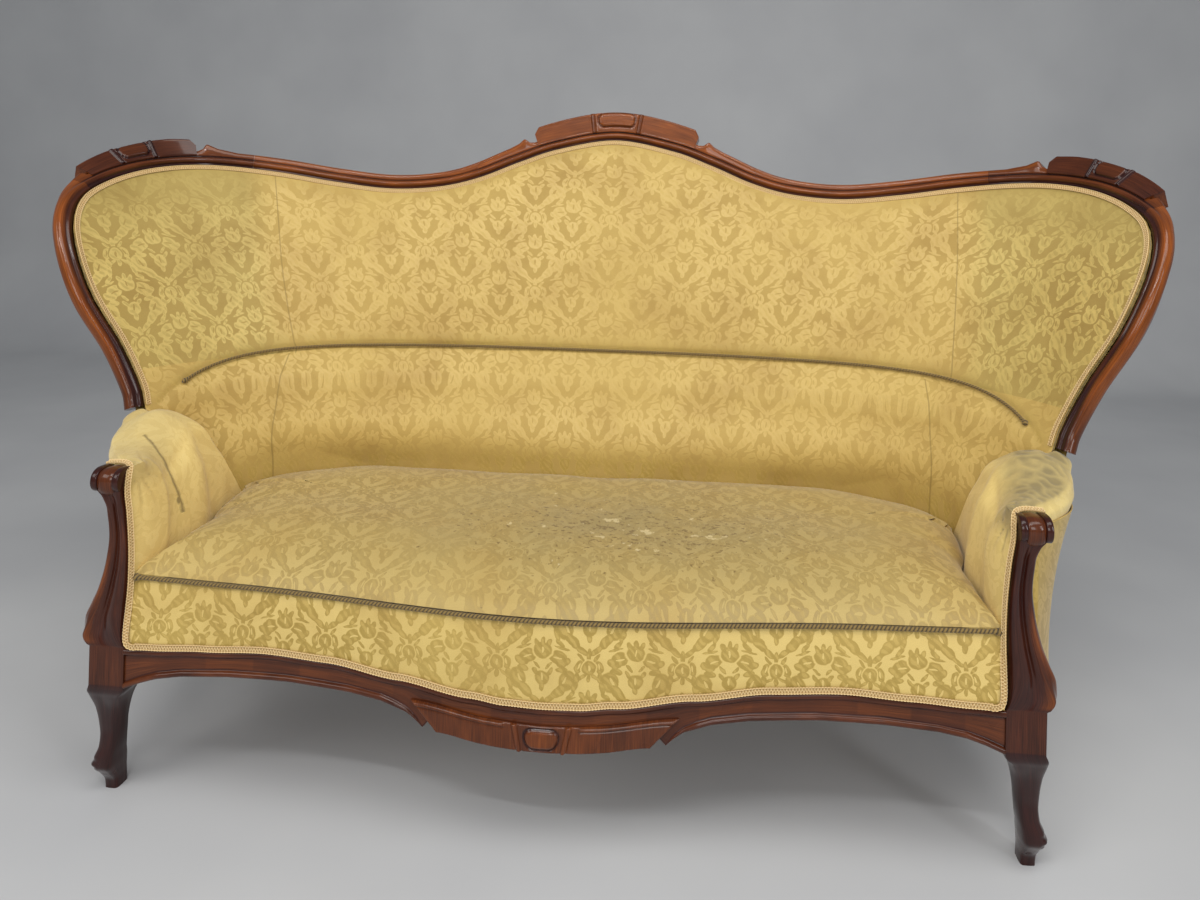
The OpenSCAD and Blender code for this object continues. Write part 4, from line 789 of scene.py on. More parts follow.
def post(side, mirror):
    """Cabriole leg, square block and leafed stump in one, from the foot to under the scroll head."""
    block_edge = [0.4835, 0.4845, 0.4895]
    zs = np.unique(np.concatenate([np.linspace(0, 0.945, 190), block_edge]))
    rows = steady(POST_SHARES, zs)
    kinds = np.clip(rows[:, 4], 0, 2)
    leg, block, stump = (closed_curve(r, 7) for r in (LEG_RING, BLOCK_RING, STUMP_RING))
    out, tones = [], []
    for z, row, k in zip(zs, rows, kinds):
        ring = mix(leg, block, k) if k < 1 else mix(block, stump, k - 1)
        x0, x1 = SPAN_HALF + row[0] * POST_W, SPAN_HALF + row[1] * POST_W
        y0, y1 = POST_FRONT + row[2] * POST_T, POST_FRONT + row[3] * POST_T
        x = (x0 + x1) / 2 + ring[:, 0] * (x1 - x0)
        y = (y0 + y1) / 2 + ring[:, 1] * (y1 - y0)
        outer, front = ease((ring[:, 0] - 0.1) / 0.3), ease((-ring[:, 1] - 0.1) / 0.25)
        # Acanthus leaf on the shoulder of the post: five lobes that run down to its tip
        leaf = ease((z - 0.487) / 0.015) * ease((0.82 - z) / 0.2) * outer
        veins = np.cos((ring[:, 1] + 0.5) * 21 + (z - 0.5) * 26)
        cut = leaf * (0.9 * veins * ease((0.66 - z) / 0.1) - 0.3)
        groove = bell((ring[:, 0] - 0.25) / 0.055) * ease((z - 0.5) / 0.08) * front
        cut = cut - 3.6 * groove * ease((0.9 - z) / 0.06)
        # Small scroll above the foot, and a sunk line on the knee
        scroll = outer * bell((z - 0.098) / 0.018)
        cut = cut + scroll * 1.5 * np.cos((z - 0.098) * 260)
        cut -= 1.2 * front * bell((z - 0.315) / 0.03) * bell(ring[:, 0] / 0.2)
        x, y = x + ring[:, 0] * 2 * cut, y + ring[:, 1] * 2 * cut
        out.append(vectors(x, y, z * ARM_H))
        # Dark below the block, worn on the leaf, and a little worn on the block
        tone = 0.08 - 0.16 * (z < 0.372) + 0.62 * leaf * (0.7 + 0.3 * veins)
        tones.append(tone + 0.1 * (k < 1.05) * (k > 0.9))
    p = closed(np.array(out))
    uv = flat_run(zs * ARM_H + 11, lengths(p[90]))
    carved(f"front_post_{side}_wood", p, uv, closed(np.array(tones)), mirror=mirror, crease=55)


# Side outline of the scroll head, forwards and upwards from its middle, in millimetres
HEAD_OUTLINE = [
    (20, -16), (20, 6), (19, 13), (14, 17.5), (6, 19), (-4, 19.5), (-12, 18.5), (-19, 14.5), (-23, 8),
    (-24, 0), (-22, -8), (-17, -14), (-10, -17), (-3, -17), (2, -14),
]


def scroll_head(side, mirror):
    """The roll between two cheeks on top of the post."""
    x0 = SPAN_HALF + POST_W * 0.24
    middle_y, middle_z = POST_FRONT + 18.0, ARM_H - 20.5
    outline = closed_curve(HEAD_OUTLINE, 5)
    far = np.linalg.norm(outline, axis=1)[:, None]
    # Places across the head, and how far the outline grows there: cheek, groove, hollow roll, groove, cheek
    xs = [0, 0.5, 1.2, 8.2, 8.9, 9.1, 9.4, 10.2, 14, 21, 28, 31.8, 32.6, 32.9, 33.1, 33.8, 40.8, 41.5, 42]
    half = [-1.2, -0.3, 0, 0, -0.4, -2.4, -3.2, -2.4, -1.0]
    grow = [*half, -0.5, *half[::-1]]
    rows, tones = [], []
    for x, g in zip(xs, grow):
        ring = outline * (1 + g / far)
        ring[:, 1] *= np.where(ring[:, 1] < 0, 1.3 if 9.1 < x < 32.9 else 0.88, 1)
        rows.append(vectors(x0 + x, middle_y + ring[:, 0], middle_z + ring[:, 1]))
        tones.append(np.full(len(ring) + 1, 0.32 if 10 < x < 32 else 0.05))
    p = closed(np.array(rows))
    uv = flat_run(x0 + np.array(xs), lengths(p[0]))[..., ::-1]
    carved(f"scroll_head_{side}_wood", p, uv, np.array(tones), [f"front_post_{side}"], mirror, 60)


for side, mirror in SIDES:
    post(side, mirror)
    scroll_head(side, mirror)

# Front rail. Its top and lower edge from the middle to the post, as shares of the half span and of the
# rail's height
RAIL_FACE = POST_FRONT + 3.0
RAIL_H = RAIL_TOP - RAIL_LOW
TOP_SHARES = [
    [0, -0.39], [0.08, -0.37], [0.16, -0.29], [0.33, -0.08], [0.5, 0.10], [0.65, 0.15], [0.8, 0.08],
    [0.93, 0.02], [1, 0],
]
LOW_SHARES = [
    [0, -0.38], [0.1, -0.34], [0.2, -0.18], [0.245, -0.04], [0.258, 0.0], [0.272, -0.16], [0.285, -0.03],
    [0.31, 0.15], [0.37, 0.33], [0.45, 0.43], [0.6, 0.49], [0.75, 0.47], [0.86, 0.40], [0.92, 0.30],
    [0.96, 0.17], [1, 0],
]


def rail_y(x):
    turn = np.pi * np.clip(np.abs(x) / SPAN_HALF / 0.74, 0, 1)
    return RAIL_FACE - RAIL_BOW * (0.5 + 0.5 * np.cos(turn))


def rail_top(x):
    return RAIL_TOP + RAIL_H * soft_table(TOP_SHARES, np.abs(x) / SPAN_HALF)


def rail_low(x):
    return RAIL_LOW + RAIL_H * table(LOW_SHARES, np.abs(x) / SPAN_HALF)


def front_rail():
    corners = [-0.272, 0.272, -0.258, 0.258]
    xs = np.unique(np.concatenate([np.linspace(-1, 1, 420), corners])) * (SPAN_HALF - CLEAR)
    k = table([[0.275, 0.06], [0.287, 0.5], [0.34, 1]], np.abs(xs) / SPAN_HALF) * BEAD
    y, z0, z1 = rail_y(xs), rail_low(xs), rail_top(xs)
    back = RAIL_FACE + RAIL_T
    # Each row of the section has its depth, height and tone
    rows = [(back, z0, 0.1), (y + 2, z0, 0.1)]
    for a in np.linspace(-80, 80, 9):  # lower bead
        c, s = np.cos(np.radians(a)), np.sin(np.radians(a))
        rows.append((y - k * 0.52 * c, z0 + k * (0.5 + 0.5 * s), 0.25))
    rows += [(y, z0 + k + 1.2, 0.0), (y, z0 + k + 3, 0.35), (y, mix(z0, z1, 0.5), 0.4), (y, z1 - 12.5, 0.35),
             (y - 0.2, z1 - 10.4, 0.1), (y - 1.6, z1 - 9.4, 0.15)]
    for a in np.linspace(-60, 95, 9):  # upper roll under the braid
        c, s = np.cos(np.radians(a)), np.sin(np.radians(a))
        rows.append((y - 2.2 - 3.6 * c, z1 - 4.4 + 4.2 * s, 0.25))
    rows += [(y + 3, z1, 0.1), (back, z1, 0.1)]
    p = np.stack([vectors(xs, r[0], r[1]) for r in rows], 1)
    tone = np.repeat(np.array([r[2] for r in rows])[None], len(xs), 0)
    # Cross-grain veneer on the face, in leaves some 70 mm wide
    tone = tone + 0.09 * np.sin(np.floor(xs / 71.0) * 2.4)[:, None] * (tone > 0.3)
    p = closed(p)
    carved("front_rail_wood", p, flat_run(xs, lengths(p[200])), closed(tone), ["front_rail"])


def apron_tablet():
    """The tablet under the rail's middle: a cabochon between two ribs, and a bead along each wing."""
    ss = np.linspace(-1, 1, 240)
    vs = np.concatenate([[0], np.linspace(0.012, 0.988, 40), [1]])
    s, v = np.meshgrid(ss, vs, indexing="ij")
    low = steady([[0, -0.42], [0.34, -0.395], [0.58, -0.345], [1, -0.21]], np.abs(s))[..., 0]
    top = steady([[0, 0.19], [0.4, 0.25], [1, 0.47]], np.abs(s))[..., 0]
    x = s * SPAN_HALF * mix(0.238, 0.30, v)
    z = RAIL_LOW + RAIL_H * mix(low, top, v)
    cx, cz = s * 168, (v - 0.5) * (top - low) * RAIL_H
    box = rounded_box(cx, cz, 24, 14, 13)
    h = -1.8 * bell(box / 1.5) + 2.4 * ease(-box / 6) * (box < 0)
    bar = np.abs(np.abs(cx) - 34)
    h += CARVING_H * np.sqrt(np.clip(1 - (bar / 3.4) ** 2, 0, 1)) - 0.8 * bell((bar - 4.6) / 1.1)
    # A raised bead runs along the top from each end towards the middle
    wing = ease((np.abs(cx) - 46) / 5) * ease((1 - np.abs(s)) / 0.02)
    h += wing * (2.4 * np.sqrt(np.clip(1 - ((v - 0.9) / 0.07) ** 2, 0, 1)) - bell((v - 0.79) / 0.03))
    edge = np.minimum(np.minimum(v, 1 - v) / 0.05, (1 - np.abs(s)) / 0.012)
    drop = 1.8 * (1 - np.clip(edge, 0, 1)) ** 2
    y = rail_y(x) - CLEAR - TABLET_T - h + drop
    front = vectors(x, y, z)
    back = front[:, ::-1].copy()
    back[..., 1] = rail_y(back[..., 0]) - CLEAR
    p = closed(np.concatenate([front, back[:, ::41]], 1))
    shade = 0.4 - 0.4 * bell(box / 1.8) + 0.2 * (box < -3) + 0.15 * (bar < 3.5)
    shade = shade + 0.06 * np.sin(np.floor(cx / 40) * 2.1)
    tone = np.concatenate([shade, np.full((len(ss), p.shape[1] - shade.shape[1]), 0.1)], 1)
    uv = p[..., [2, 0]]
    carved("apron_tablet_wood", p, uv, tone, ["apron_tablet"])


front_rail()
apron_tablet()

# Padding. n is how far a cover stands in front of the tub, phi its turn round it in degrees; a cover's s
# runs from its left side to its right one and t from its lower edge up
WOOD_N = 5.0
LUMBAR_Z = ARM_H + CREST_RISE * 0.158
STILE_FOOT_Z = 514.464
LOW_BACK = [[0, 1.38], [0.25, 1.1], [0.43, 0.78], [0.51, 0.62], [0.634, 0.9]]
ARM_SHARES = [[0.634, 0.82], [0.75, 1.28], [0.855, 1.54], [0.92, 1.35], [1, 0.86]]
ARM_SIDE = [[-0.6, 0.95], [0, 1], [0.3, 1.03], [0.6, 0.98], [0.8, 0.84]]
FOOT_T = 0.27
BACK_LOW_Z = SEAT_H - PIPING_D * 4
LUMBAR_DROP = 7.0


def level(z):
    return np.clip((z - SEAT_H) / (STILE_FOOT_Z - SEAT_H), 0, 1)


def side_phi_at(z):
    return 90 * mix(0.634, 0.779, level(z))


def side_n(z):
    return mix(ARM_PAD * 0.82, WOOD_N, ease(level(z)))


def smooth_table(rows, x):
    return through(rows, x)[..., 0]


def back_n(s, phi, z, top):
    """How far the padded back stands forward: its upper part, the lumbar roll, and the hollow under it."""
    e = side_n(z)
    up = np.clip((z - LUMBAR_Z) / (top - LUMBAR_Z), 0, 1)
    w = np.clip((LUMBAR_Z - z) / (LUMBAR_Z - SEAT_H), 0, 1)
    upper = BACK_PAD * 1.3 * (1 - up**2.4)
    roll = upper + LUMBAR_PAD * ease(w * 3)
    low = np.maximum(0, (BACK_PAD + LUMBAR_PAD) * smooth_table(LOW_BACK, np.abs(phi) / 90) - e)
    return e + (1 - np.abs(s) ** 4) * mix(roll, low, ease(2 * w - 1))


def arm_n(phi, z):
    side = smooth_table(ARM_SIDE, (z - SEAT_H) / (ARM_H - SEAT_H))
    return ARM_PAD * smooth_table(ARM_SHARES, np.abs(phi) / 90) * side


def side_line(t, z0):
    """The side edge of the back's cover: up past the arm, then along the frame."""
    z_low = mix(z0, ARM_H + EDGE_SHARES[-1][1] * CREST_RISE, t / FOOT_T)
    phi_up, z_up = edge_turn(mix(FOOT_U, CORNER_U, np.clip((t - FOOT_T) / (1 - FOOT_T), 0, 1)))
    return np.where(t < FOOT_T, side_phi_at(z_low), phi_up), np.where(t < FOOT_T, z_low, z_up)


def net_turn(s, t, z0):
    """Turn and height of a place on a cover that fills the frame down to z0, and the frame's height above."""
    a = np.abs(s)
    top_phi, top_z = edge_turn(CORNER_U * a)
    side_phi, side_z = side_line(t, z0)
    corner_phi, corner_z = edge_turn(np.array(float(CORNER_U)))
    low_phi = side_phi_at(z0)
    phi = mix(low_phi * a, top_phi, t) + a * (side_phi - mix(low_phi, corner_phi, t))
    z = mix(z0, top_z, t) + a**2 * (side_z - mix(z0, corner_z, t))
    return phi, z, top_z


def lumbar_line(s):
    """Height and turn of the piping on the lumbar roll."""
    z = LUMBAR_Z - LUMBAR_PAD * 0.15 - LUMBAR_DROP * s * s - (LUMBAR_Z - STILE_FOOT_Z) * 0.75 * np.abs(s) ** 6
    return z, np.sign(s) * side_phi_at(z) * 0.97 * np.abs(s) ** 0.9


def lumbar_z_at(phi):
    s = np.linspace(0, 1, 200)
    z, p = lumbar_line(s)
    return np.interp(np.abs(phi), p, z), np.abs(phi) < p[-1]


def inset_cloth(s, t, phi, z, mm):
    phi = phi - np.where(np.abs(s) > 0.9999, mm / 10, 0)
    return phi, z - np.where(t > 0.9999, mm, 0)


def cover_at(phi, z, n):
    q = tub_at(phi, np.maximum(z, RAIL_TOP), n)
    q[..., 2] += np.minimum(0, z - RAIL_TOP)
    return q


def net(s, t, z0, n, inset):
    phi, z, _ = net_turn(s, t, z0)
    phi, z = inset_cloth(s, t, phi, z, inset)
    return cover_at(np.where(s < 0, -phi, phi), z, n)


def cloth_uv(phi, z, up):
    """Distances over the cloth: round the tub at one height, and up its slope."""
    turns = np.linspace(-90, 90, 721)
    run = lengths(tub(turns, 640.0))
    run = run - run[360]
    return vectors(np.interp(phi, turns, run), up)


def inside_back():
    """The padded back over its lumbar roll, and the back of its pad behind."""
    t, s = np.meshgrid(np.linspace(0, 1, 170), np.linspace(-1, 1, 300), indexing="ij")
    phi, z, top = net_turn(s, t, BACK_LOW_Z)
    phi_in, z_in = inset_cloth(s, t, phi, z, 1.0)
    signed = np.where(s < 0, -phi_in, phi_in)
    n = back_n(s, phi, z, top)
    line_z, under = lumbar_z_at(phi)
    n -= 5.0 * bell((z - line_z) / 7.0) * under * (1 - np.abs(s) ** 8)
    p = tub_at(signed, z_in, n)
    # Soft hollows and strain in the old stuffing, and pull lines that fan from the seat
    n += 2.2 * ripple(p, 150, 3.0) * (1 - np.abs(s) ** 6) * ease((1 - t) / 0.06)
    n += 0.7 * ripple(p * np.array([1, 1, 0.35]), 34, 9.0) * ease((0.36 - t) / 0.1)
    p = cover_at(signed, z_in, n)
    uv = cloth_uv(signed, z_in, z_in)
    rear = net(s[::-7], t[::-7], BACK_LOW_Z, -1.8, 6.0)
    # Painted sheen: the satin figures turn dark just over the piping, low down and under the frame, where the
    # satin is turned from the light
    dark = bell(np.maximum(z_in - line_z, 0) / 22) * (z_in > line_z) + ease((430 - z_in) / 60)
    dark = np.clip(dark + ease((z_in - top + 40) / 30) * 0.8, 0, 1)
    piece = skin("inside_back_cover", sandwich(p, rear), "gold_damask_back", ["inside_back"],
                 uv=sandwich(uv, uv[::-7]), tone=sandwich(dark, dark[::-7]), crease=70)


# How far the outside cover stops short of the frame's inner edge up each side: it laps over the flat back
# of the shoulder and keeps clear of the turned stile
OUTSIDE_INSET = [[0, 0.5], [0.25, 0.5], [0.27, 12.5], [0.763, 12.5], [0.863, 7.5], [0.945, 1], [1, -4]]
COVER_LOW_Z = 217.6


def outside_back():
    """One sheet behind the frame, from the rear rail's lower edge to over the crest."""
    ss = np.linspace(-1, 1, 161)
    t, s = np.meshgrid(np.linspace(0, 1, 50), np.sign(ss) * np.abs(ss) ** 0.9, indexing="ij")
    n = np.full(t.shape, -FRAME_T - 3.2)
    n = n + 1.6 * ease(t / 0.1) * ease((1 - t) / 0.1) * (1 - np.abs(s) ** 6)
    inset = table(OUTSIDE_INSET, t)
    phi, z, _ = net_turn(s, t, COVER_LOW_Z)
    phi = phi - np.where(np.abs(s) > 0.9999, inset / 10, 0)
    z_in = z + np.where(t > 0.9999, 6.0 * (1 - np.abs(s) ** 8), 0)
    signed = np.where(s < 0, -phi, phi)
    p = cover_at(signed, z_in, n)
    uv = cloth_uv(signed, z_in, z_in)
    rear = cover_at(signed, z_in, n - 1.6)[::-1]
    piece = skin("outside_back_cover", sandwich(p, rear), "gold_damask_outside",
                 ["outside_back"], uv=sandwich(uv, uv[::-1]), crease=70)


inside_back()
outside_back()

# Arms
ARM_RAIL_TOP = ARM_H - BEECH_T
FRONT_GAP = 3.0


def front_phi(z):
    return np.degrees(np.arctan2(1, (POST_FRONT + POST_T + FRONT_GAP) / tub_b(z)))


def arm_phi(w, z):
    return mix(side_phi_at(z) + 0.6, front_phi(ARM_H), w)


def shift_at(phi):
    return 16 * ease((np.abs(phi) - 74) / 16)


# Where the post's inner side lies at each height
POST_INNER = [[0, 620], [340, 620.8], [400, 623], [440, 626.8], [457, 629], [472, 631.5], [500, 632]]
# How far forward the arm's cover comes under the braid at each height
BRAID_Y = [[0, -40.8], [466, -40.8], [487, -35], [500, -25]]
# How many rows the pad has along the arm and in front of it, how many places its section has round it, and
# between which of them the waves and creases fade out towards its hem
PAD_ROWS, FRONT_ROWS, PAD_PLACES, HEM = 76, 22, 118, (92, 106)
INNER_SIDE_Z = (BACK_LOW_Z, 326.0, SEAT_H, 364.0, 388.0, 412.0, 436.0)
# Where the pleats meet, behind the scroll head
PLEAT_CORNER = (SPAN_HALF + 2, -14.0, ARM_H - 8)


def arm_section(w):
    """Places round the pad, at w from the stile's foot to the post: up the inner side from the seat, over the
    top, down outside and back under the arm rail."""
    top = mix(STILE_FOOT_Z - 2 * CLEAR, ARM_H - 3, ease(w * 1.3))
    middle = arm_phi(w, ARM_H)
    shift = shift_at(middle)
    inner, outer = BEECH_T - FRAME_T + 1.5 + shift, -FRAME_T + shift
    lip = ARM_RAIL_TOP - BEECH_T * 0.4 - 1.0
    n = arm_n(middle, SEAT_H)
    # By the stile the pad is fuller and stands up round the stile's foot
    full, raised = 1 - ease(w / 0.25), 9 * (1 - ease(w / 0.26))
    ring = [(arm_n(arm_phi(w, z), z), z) for z in INNER_SIDE_Z]
    ring += [(n * 0.9, mix(SEAT_H, top, 0.72)), (n * 0.82, mix(SEAT_H, top, 0.82)),
             (n * 0.6, mix(SEAT_H, top, 0.94)), (n * 0.34, top), (n * 0.16, top + 0.6), (0, top + raised),
             (outer * mix(0.34, 0.8, full), mix(ARM_RAIL_TOP, top, 0.95) + raised),
             (outer * mix(0.6, 0.98, full), mix(ARM_RAIL_TOP, top, 0.84) + raised),
             (outer * mix(0.8, 1, full) - 0.4, mix(ARM_RAIL_TOP, top, 0.58)),
             (outer - 0.8, mix(ARM_RAIL_TOP, top, 0.3)), (outer - 1.2, ARM_RAIL_TOP - 3), (outer - 1.4, lip)]
    curve = through([[i, *r] for i, r in enumerate(ring)], np.linspace(0, len(ring) - 1, PAD_PLACES))
    under = [(outer, lip), (outer, ARM_RAIL_TOP + 1.2), (inner, ARM_RAIL_TOP + 1.2),
             (inner, ARM_RAIL_TOP - 31.2), (inner, BACK_LOW_Z)]
    curve = np.concatenate([curve, np.array(under)])
    return tub_at(arm_phi(w, curve[:, 1]), curve[:, 1], curve[:, 0])


def arm_front(last, around):
    """The rows after the last one: the cover runs on over the inner side of the post to the braid, and closes
    behind the scroll head."""
    x, _, z = last.T
    on_side = ease((0.6 - around) / 0.05)[:, None]
    on_top = ease((around - 0.42) / 0.08)[:, None] * ease((0.78 - around) / 0.06)[:, None]
    side_goal = vectors(table(POST_INNER, z) - 2.4, table(BRAID_Y, z), np.minimum(z, ARM_H - 2))
    top_goal = vectors(np.clip(x, SPAN_HALF + 6, SPAN_HALF + 50), -12.0, np.minimum(z, ARM_H - 1.5))
    turns_in = side_goal[:, 0] < x
    rows = []
    for f in np.linspace(0, 1, FRONT_ROWS)[1:]:
        forward = vectors(np.where(turns_in, ease(1.9 * f), f**2.2), f, f)
        row = last + (side_goal - last) * forward * on_side
        row = row + (top_goal - last) * np.array([f**1.5, f, f**2.5]) * on_top * (1 - on_side)
        row[:, 1] -= 1.5 * f * (1 - on_side[:, 0]) * (1 - on_top[:, 0])
        rows.append(row)
    return rows


def crumpled(p, tone, mirror):
    """Pleats that fan out from the scroll head, soft waves where the stuffing has settled, and fine creases
    on the worn top, most on the right arm; and the tone, with painted shade in the pleats' valleys and
    creases."""
    spread = p - PLEAT_CORNER
    reach = np.linalg.norm(spread, axis=-1)
    angle = np.arctan2(spread[..., 1], np.hypot(spread[..., 0], spread[..., 2]) * np.sign(spread[..., 0] + 2))
    fold = np.abs(np.sin(angle * 7 + ripple(p, 60, 2.0))) ** 0.6 - 0.6
    fold *= ease((reach - 8) / 12) * ease((95 - reach) / 60)
    wave = ripple(p, 90, 5.0 if mirror else 8.0) * 1.8 + ripple(p, 36, 1.0 if mirror else 4.0) * 0.7
    crease = (0.45 - np.abs(ripple(p, 19, 6.0))) * tone * (0.4 if mirror else 1.7)
    hem = np.interp(np.arange(p.shape[1]), HEM, [1, 0])
    soft, sharp = wave * hem, (3.2 * fold + crease) * hem
    # In front they fade out towards the braid
    to_braid = np.linspace(0, 1, FRONT_ROWS - 1)[:, None]
    soft[PAD_ROWS:] *= 1 - to_braid
    sharp[PAD_ROWS:] *= 1 - to_braid**3
    # Painted shade: the tone rises in the pleats' valleys and the creases' troughs, and falls on their ridges
    tone = tone * np.clip(1 - 0.25 * crease, 0.6, 1.4) + 0.8 * ease((-0.34 - fold) / 0.2)
    centre = p[:, :112].mean(1, keepdims=True)
    return p + times(unit(p - centre), soft + sharp), tone


def arm_pad(side, mirror):
    """The arm's padding, from behind the stile's foot to the scroll head."""
    rows = [arm_section(w) for w in np.linspace(-0.022, 1, PAD_ROWS)]
    around = np.arange(len(rows[0])) / len(rows[0])
    p = np.array(rows + arm_front(rows[-1], around))
    worn = np.tile(ease((around - 0.36) / 0.12) * ease((0.79 - around) / 0.18), (len(p), 1))
    # From here the tone holds the worn top and the painted shade in the folds
    p, worn = crumpled(p, worn, mirror)
    # The cloth's distances are taken along the top of the arm and round its middle
    uv = flat_run(lengths(p[:, 60]), lengths(closed(p)[35]))
    piece = skin(f"arm_pad_{side}_cover", closed(p), f"gold_damask_arm_{side}", [f"arm_pad_{side}"],
                 uv=uv, tone=closed(worn), mirror=mirror, crease=75)


ARM_COVER_LOW_Z = 213.1


def outside_arm(side, mirror):
    """The sheet outside an arm, between the side rail and the arm rail."""
    t, w = np.meshgrid(np.linspace(0, 1, 24), np.linspace(-0.015, 1, 40), indexing="ij")
    z = mix(ARM_COVER_LOW_Z, ARM_RAIL_TOP - 4, t)
    phi = arm_phi(w, z)
    n = shift_at(phi) - FRAME_T - 1.7
    # In front it turns in to the back of the post
    high = z[:, :1] / ARM_H
    post_x, post_y = (table(np.array(POST_SHARES)[:, [0, k]], high) for k in (2, 4))
    turned = vectors(SPAN_HALF + post_x * POST_W - 7, POST_FRONT + post_y * POST_T + 1.5, z[:, :1])
    p = np.concatenate([tub_at(phi, z, n), turned], 1)
    rear = np.concatenate([tub_at(phi, z, n - 1.5), turned + np.array([1.5, 0, 0])], 1)
    uv = vectors(lengths(p.swapaxes(0, 1)).T, p[..., 2])
    piece = skin(f"outside_arm_{side}_cover", sandwich(p, rear[::-1]), "gold_damask_outside",
                 [f"outside_arm_{side}"], uv=sandwich(uv, uv[::-1]), mirror=mirror, crease=70)


for side, mirror in SIDES:
    arm_pad(side, mirror)
    outside_arm(side, mirror)

# Seat
BORDER_LEAN, BORDER_OUT, SEAT_DIP, SEAT_GAP = 18.0, 5.0, 6.0, 4.5
FRONT_SLOPE = 34.0
RAIL_Z = RAIL_TOP - BEECH_H * 0.45
LEDGER_Y = RAIL_FACE + RAIL_T + CLEAR
REAR_INNER = tub_b(RAIL_TOP) - (BEECH_T - FRAME_T)
SEAT_HALF = SPAN_HALF - GIMP_T - 2 * CLEAR
SPRING_TOP = SEAT_H - PIPING_D * 5.5
HESSIAN_END = SPRING_TOP + CLEAR + 1.8


def middle_share(x):
    return 1 - np.clip(np.abs(x) / SPAN_HALF, 0, 1) ** 2


def piping_z(x):
    return SEAT_H - SEAT_DIP * middle_share(x)


def border_top(x):
    return piping_z(x) - PIPING_D / 2


def border_y(x, z):
    lean = BORDER_LEAN * (1 - 0.67 * middle_share(x))
    return rail_y(x) - BORDER_OUT + lean * (z - rail_top(x)) / (border_top(x) - rail_top(x))


def seat_outline(z, inset, slope):
    """A ring round the seat at a height, drawn in on all sides by inset, its front edge set back by slope."""
    xs = np.sin(np.linspace(np.pi / 2, -np.pi / 2, 120)) * SEAT_HALF
    front = vectors(xs, border_y(xs, border_top(xs)) + slope)
    i = np.linspace(-1, 1, 181)
    phi = 89 * np.sign(i) * np.abs(i) ** 0.9
    outside = np.abs(phi) > side_phi_at(z)
    depth = np.where(outside, arm_n(phi, z), back_n(np.clip(phi / side_phi_at(z), -1, 1), phi, z, OVERALL_H))
    back = tub_at(phi, z, depth + SEAT_GAP)[:, :2]
    p = np.concatenate([front, back])
    mid = REAR_INNER / 2
    x = p[:, 0] * (1 - inset / SEAT_HALF)
    y = mid + (p[:, 1] - mid) * (1 - inset / mid)
    return vectors(x, y, float(z))


# How the seat rises from its edge to its middle
CROWN = [[0, 0], [0.025, 0.2], [0.075, 0.42], [0.17, 0.68], [0.34, 0.88], [0.58, 0.98], [0.8, 1], [1, 1]]


# The three places where people sit are pressed a little
SITTING_X = (-390, 20, 400)


def seat_cushion():
    """The crowned top of the sprung seat, from over the hessian to its middle."""
    rings = [seat_outline(HESSIAN_END + CLEAR, 0, FRONT_SLOPE), seat_outline(322, 0, FRONT_SLOPE * 0.5),
             seat_outline(334, 0, FRONT_SLOPE * 0.2)]
    for a in np.linspace(0, 1, 60) ** 1.6 * 0.995:
        crown = SEAT_CROWN * float(smooth_table(CROWN, a))
        rings.append(seat_outline(SEAT_H + PIPING_D / 2 + crown, a * REAR_INNER / 2, 0))
    p = np.array(rings)
    # The front edge follows the piping, which dips in the middle
    near = ease(1 - (p[..., 1] - border_y(p[..., 0], border_top(p[..., 0]))) / 120)
    p[..., 2] -= near * SEAT_DIP * middle_share(p[..., 0]) * (p[..., 2] > SEAT_H - 2)
    x, y = p[..., 0], p[..., 1]
    worn = 0.35 + 0.65 * bell((x - 90) / 340) * bell((y - 130) / 170)
    inner = ease((p[..., 2] - SEAT_H - 6) / 14)
    p[..., 2] += inner * (2.6 * ripple(p, 120, 2.0) + 0.8 * ripple(p, 38, 4.0) * worn)
    for at in SITTING_X:
        p[..., 2] -= inner * 5 * bell((x - at) / 130) * bell((y - 230) / 150)
    p = closed(p)
    piece = skin("seat_cushion_cover", p, "gold_damask_seat", ["seat_cushion"],
                 uv=p[..., :2].copy(), tone=closed(worn), crease=75)


def seat_border():
    """The upright band between the rail's braid and the seat's piping."""
    xs = np.sin(np.linspace(-np.pi / 2, np.pi / 2, 260)) * SEAT_HALF
    rail_end = RAIL_Z + BEECH_H + CLEAR
    z0, z1 = rail_top(xs) + 2, border_top(xs) - CLEAR
    rows = []
    for v in np.linspace(0, 1, 26):
        z = mix(z0, z1, v)
        puff = 2.9 * np.sin(np.pi * v) ** 0.6
        rows.append(vectors(xs, border_y(xs, z) - puff * PIPING_D / 7, z))
    y1 = border_y(xs, border_top(xs))
    inside = LEDGER_Y - 2 * CLEAR
    for y, z in ((y1 + FRONT_SLOPE - CLEAR, SPRING_TOP), (LEDGER_Y + BEECH_T, rail_end), (inside, rail_end),
                 (inside, z0)):
        rows.append(vectors(xs, y, z))
    p = np.stack(rows, 1)
    face = p[:, 2:24]
    strain = 0.8 * ripple(face * np.array([1, 1, 0.3]), 40, 6.0)
    p[:, 2:24, 1] += strain * ease((1 - np.abs(xs / SEAT_HALF)) / 0.05)[:, None]
    p = closed(p)
    piece = skin("seat_border_cover", p, "gold_damask_border", ["seat_border"], uv=p[..., [0, 2]],
                 crease=60)


seat_cushion()
seat_border()

# Piping and gimp


def frames_along(path):
    """Two axes across a path at each of its points: level, and up."""
    tangent = unit(np.gradient(path, axis=0))
    side = unit(np.cross(tangent, [0, 0, 1.0]))
    return side, np.cross(side, tangent)


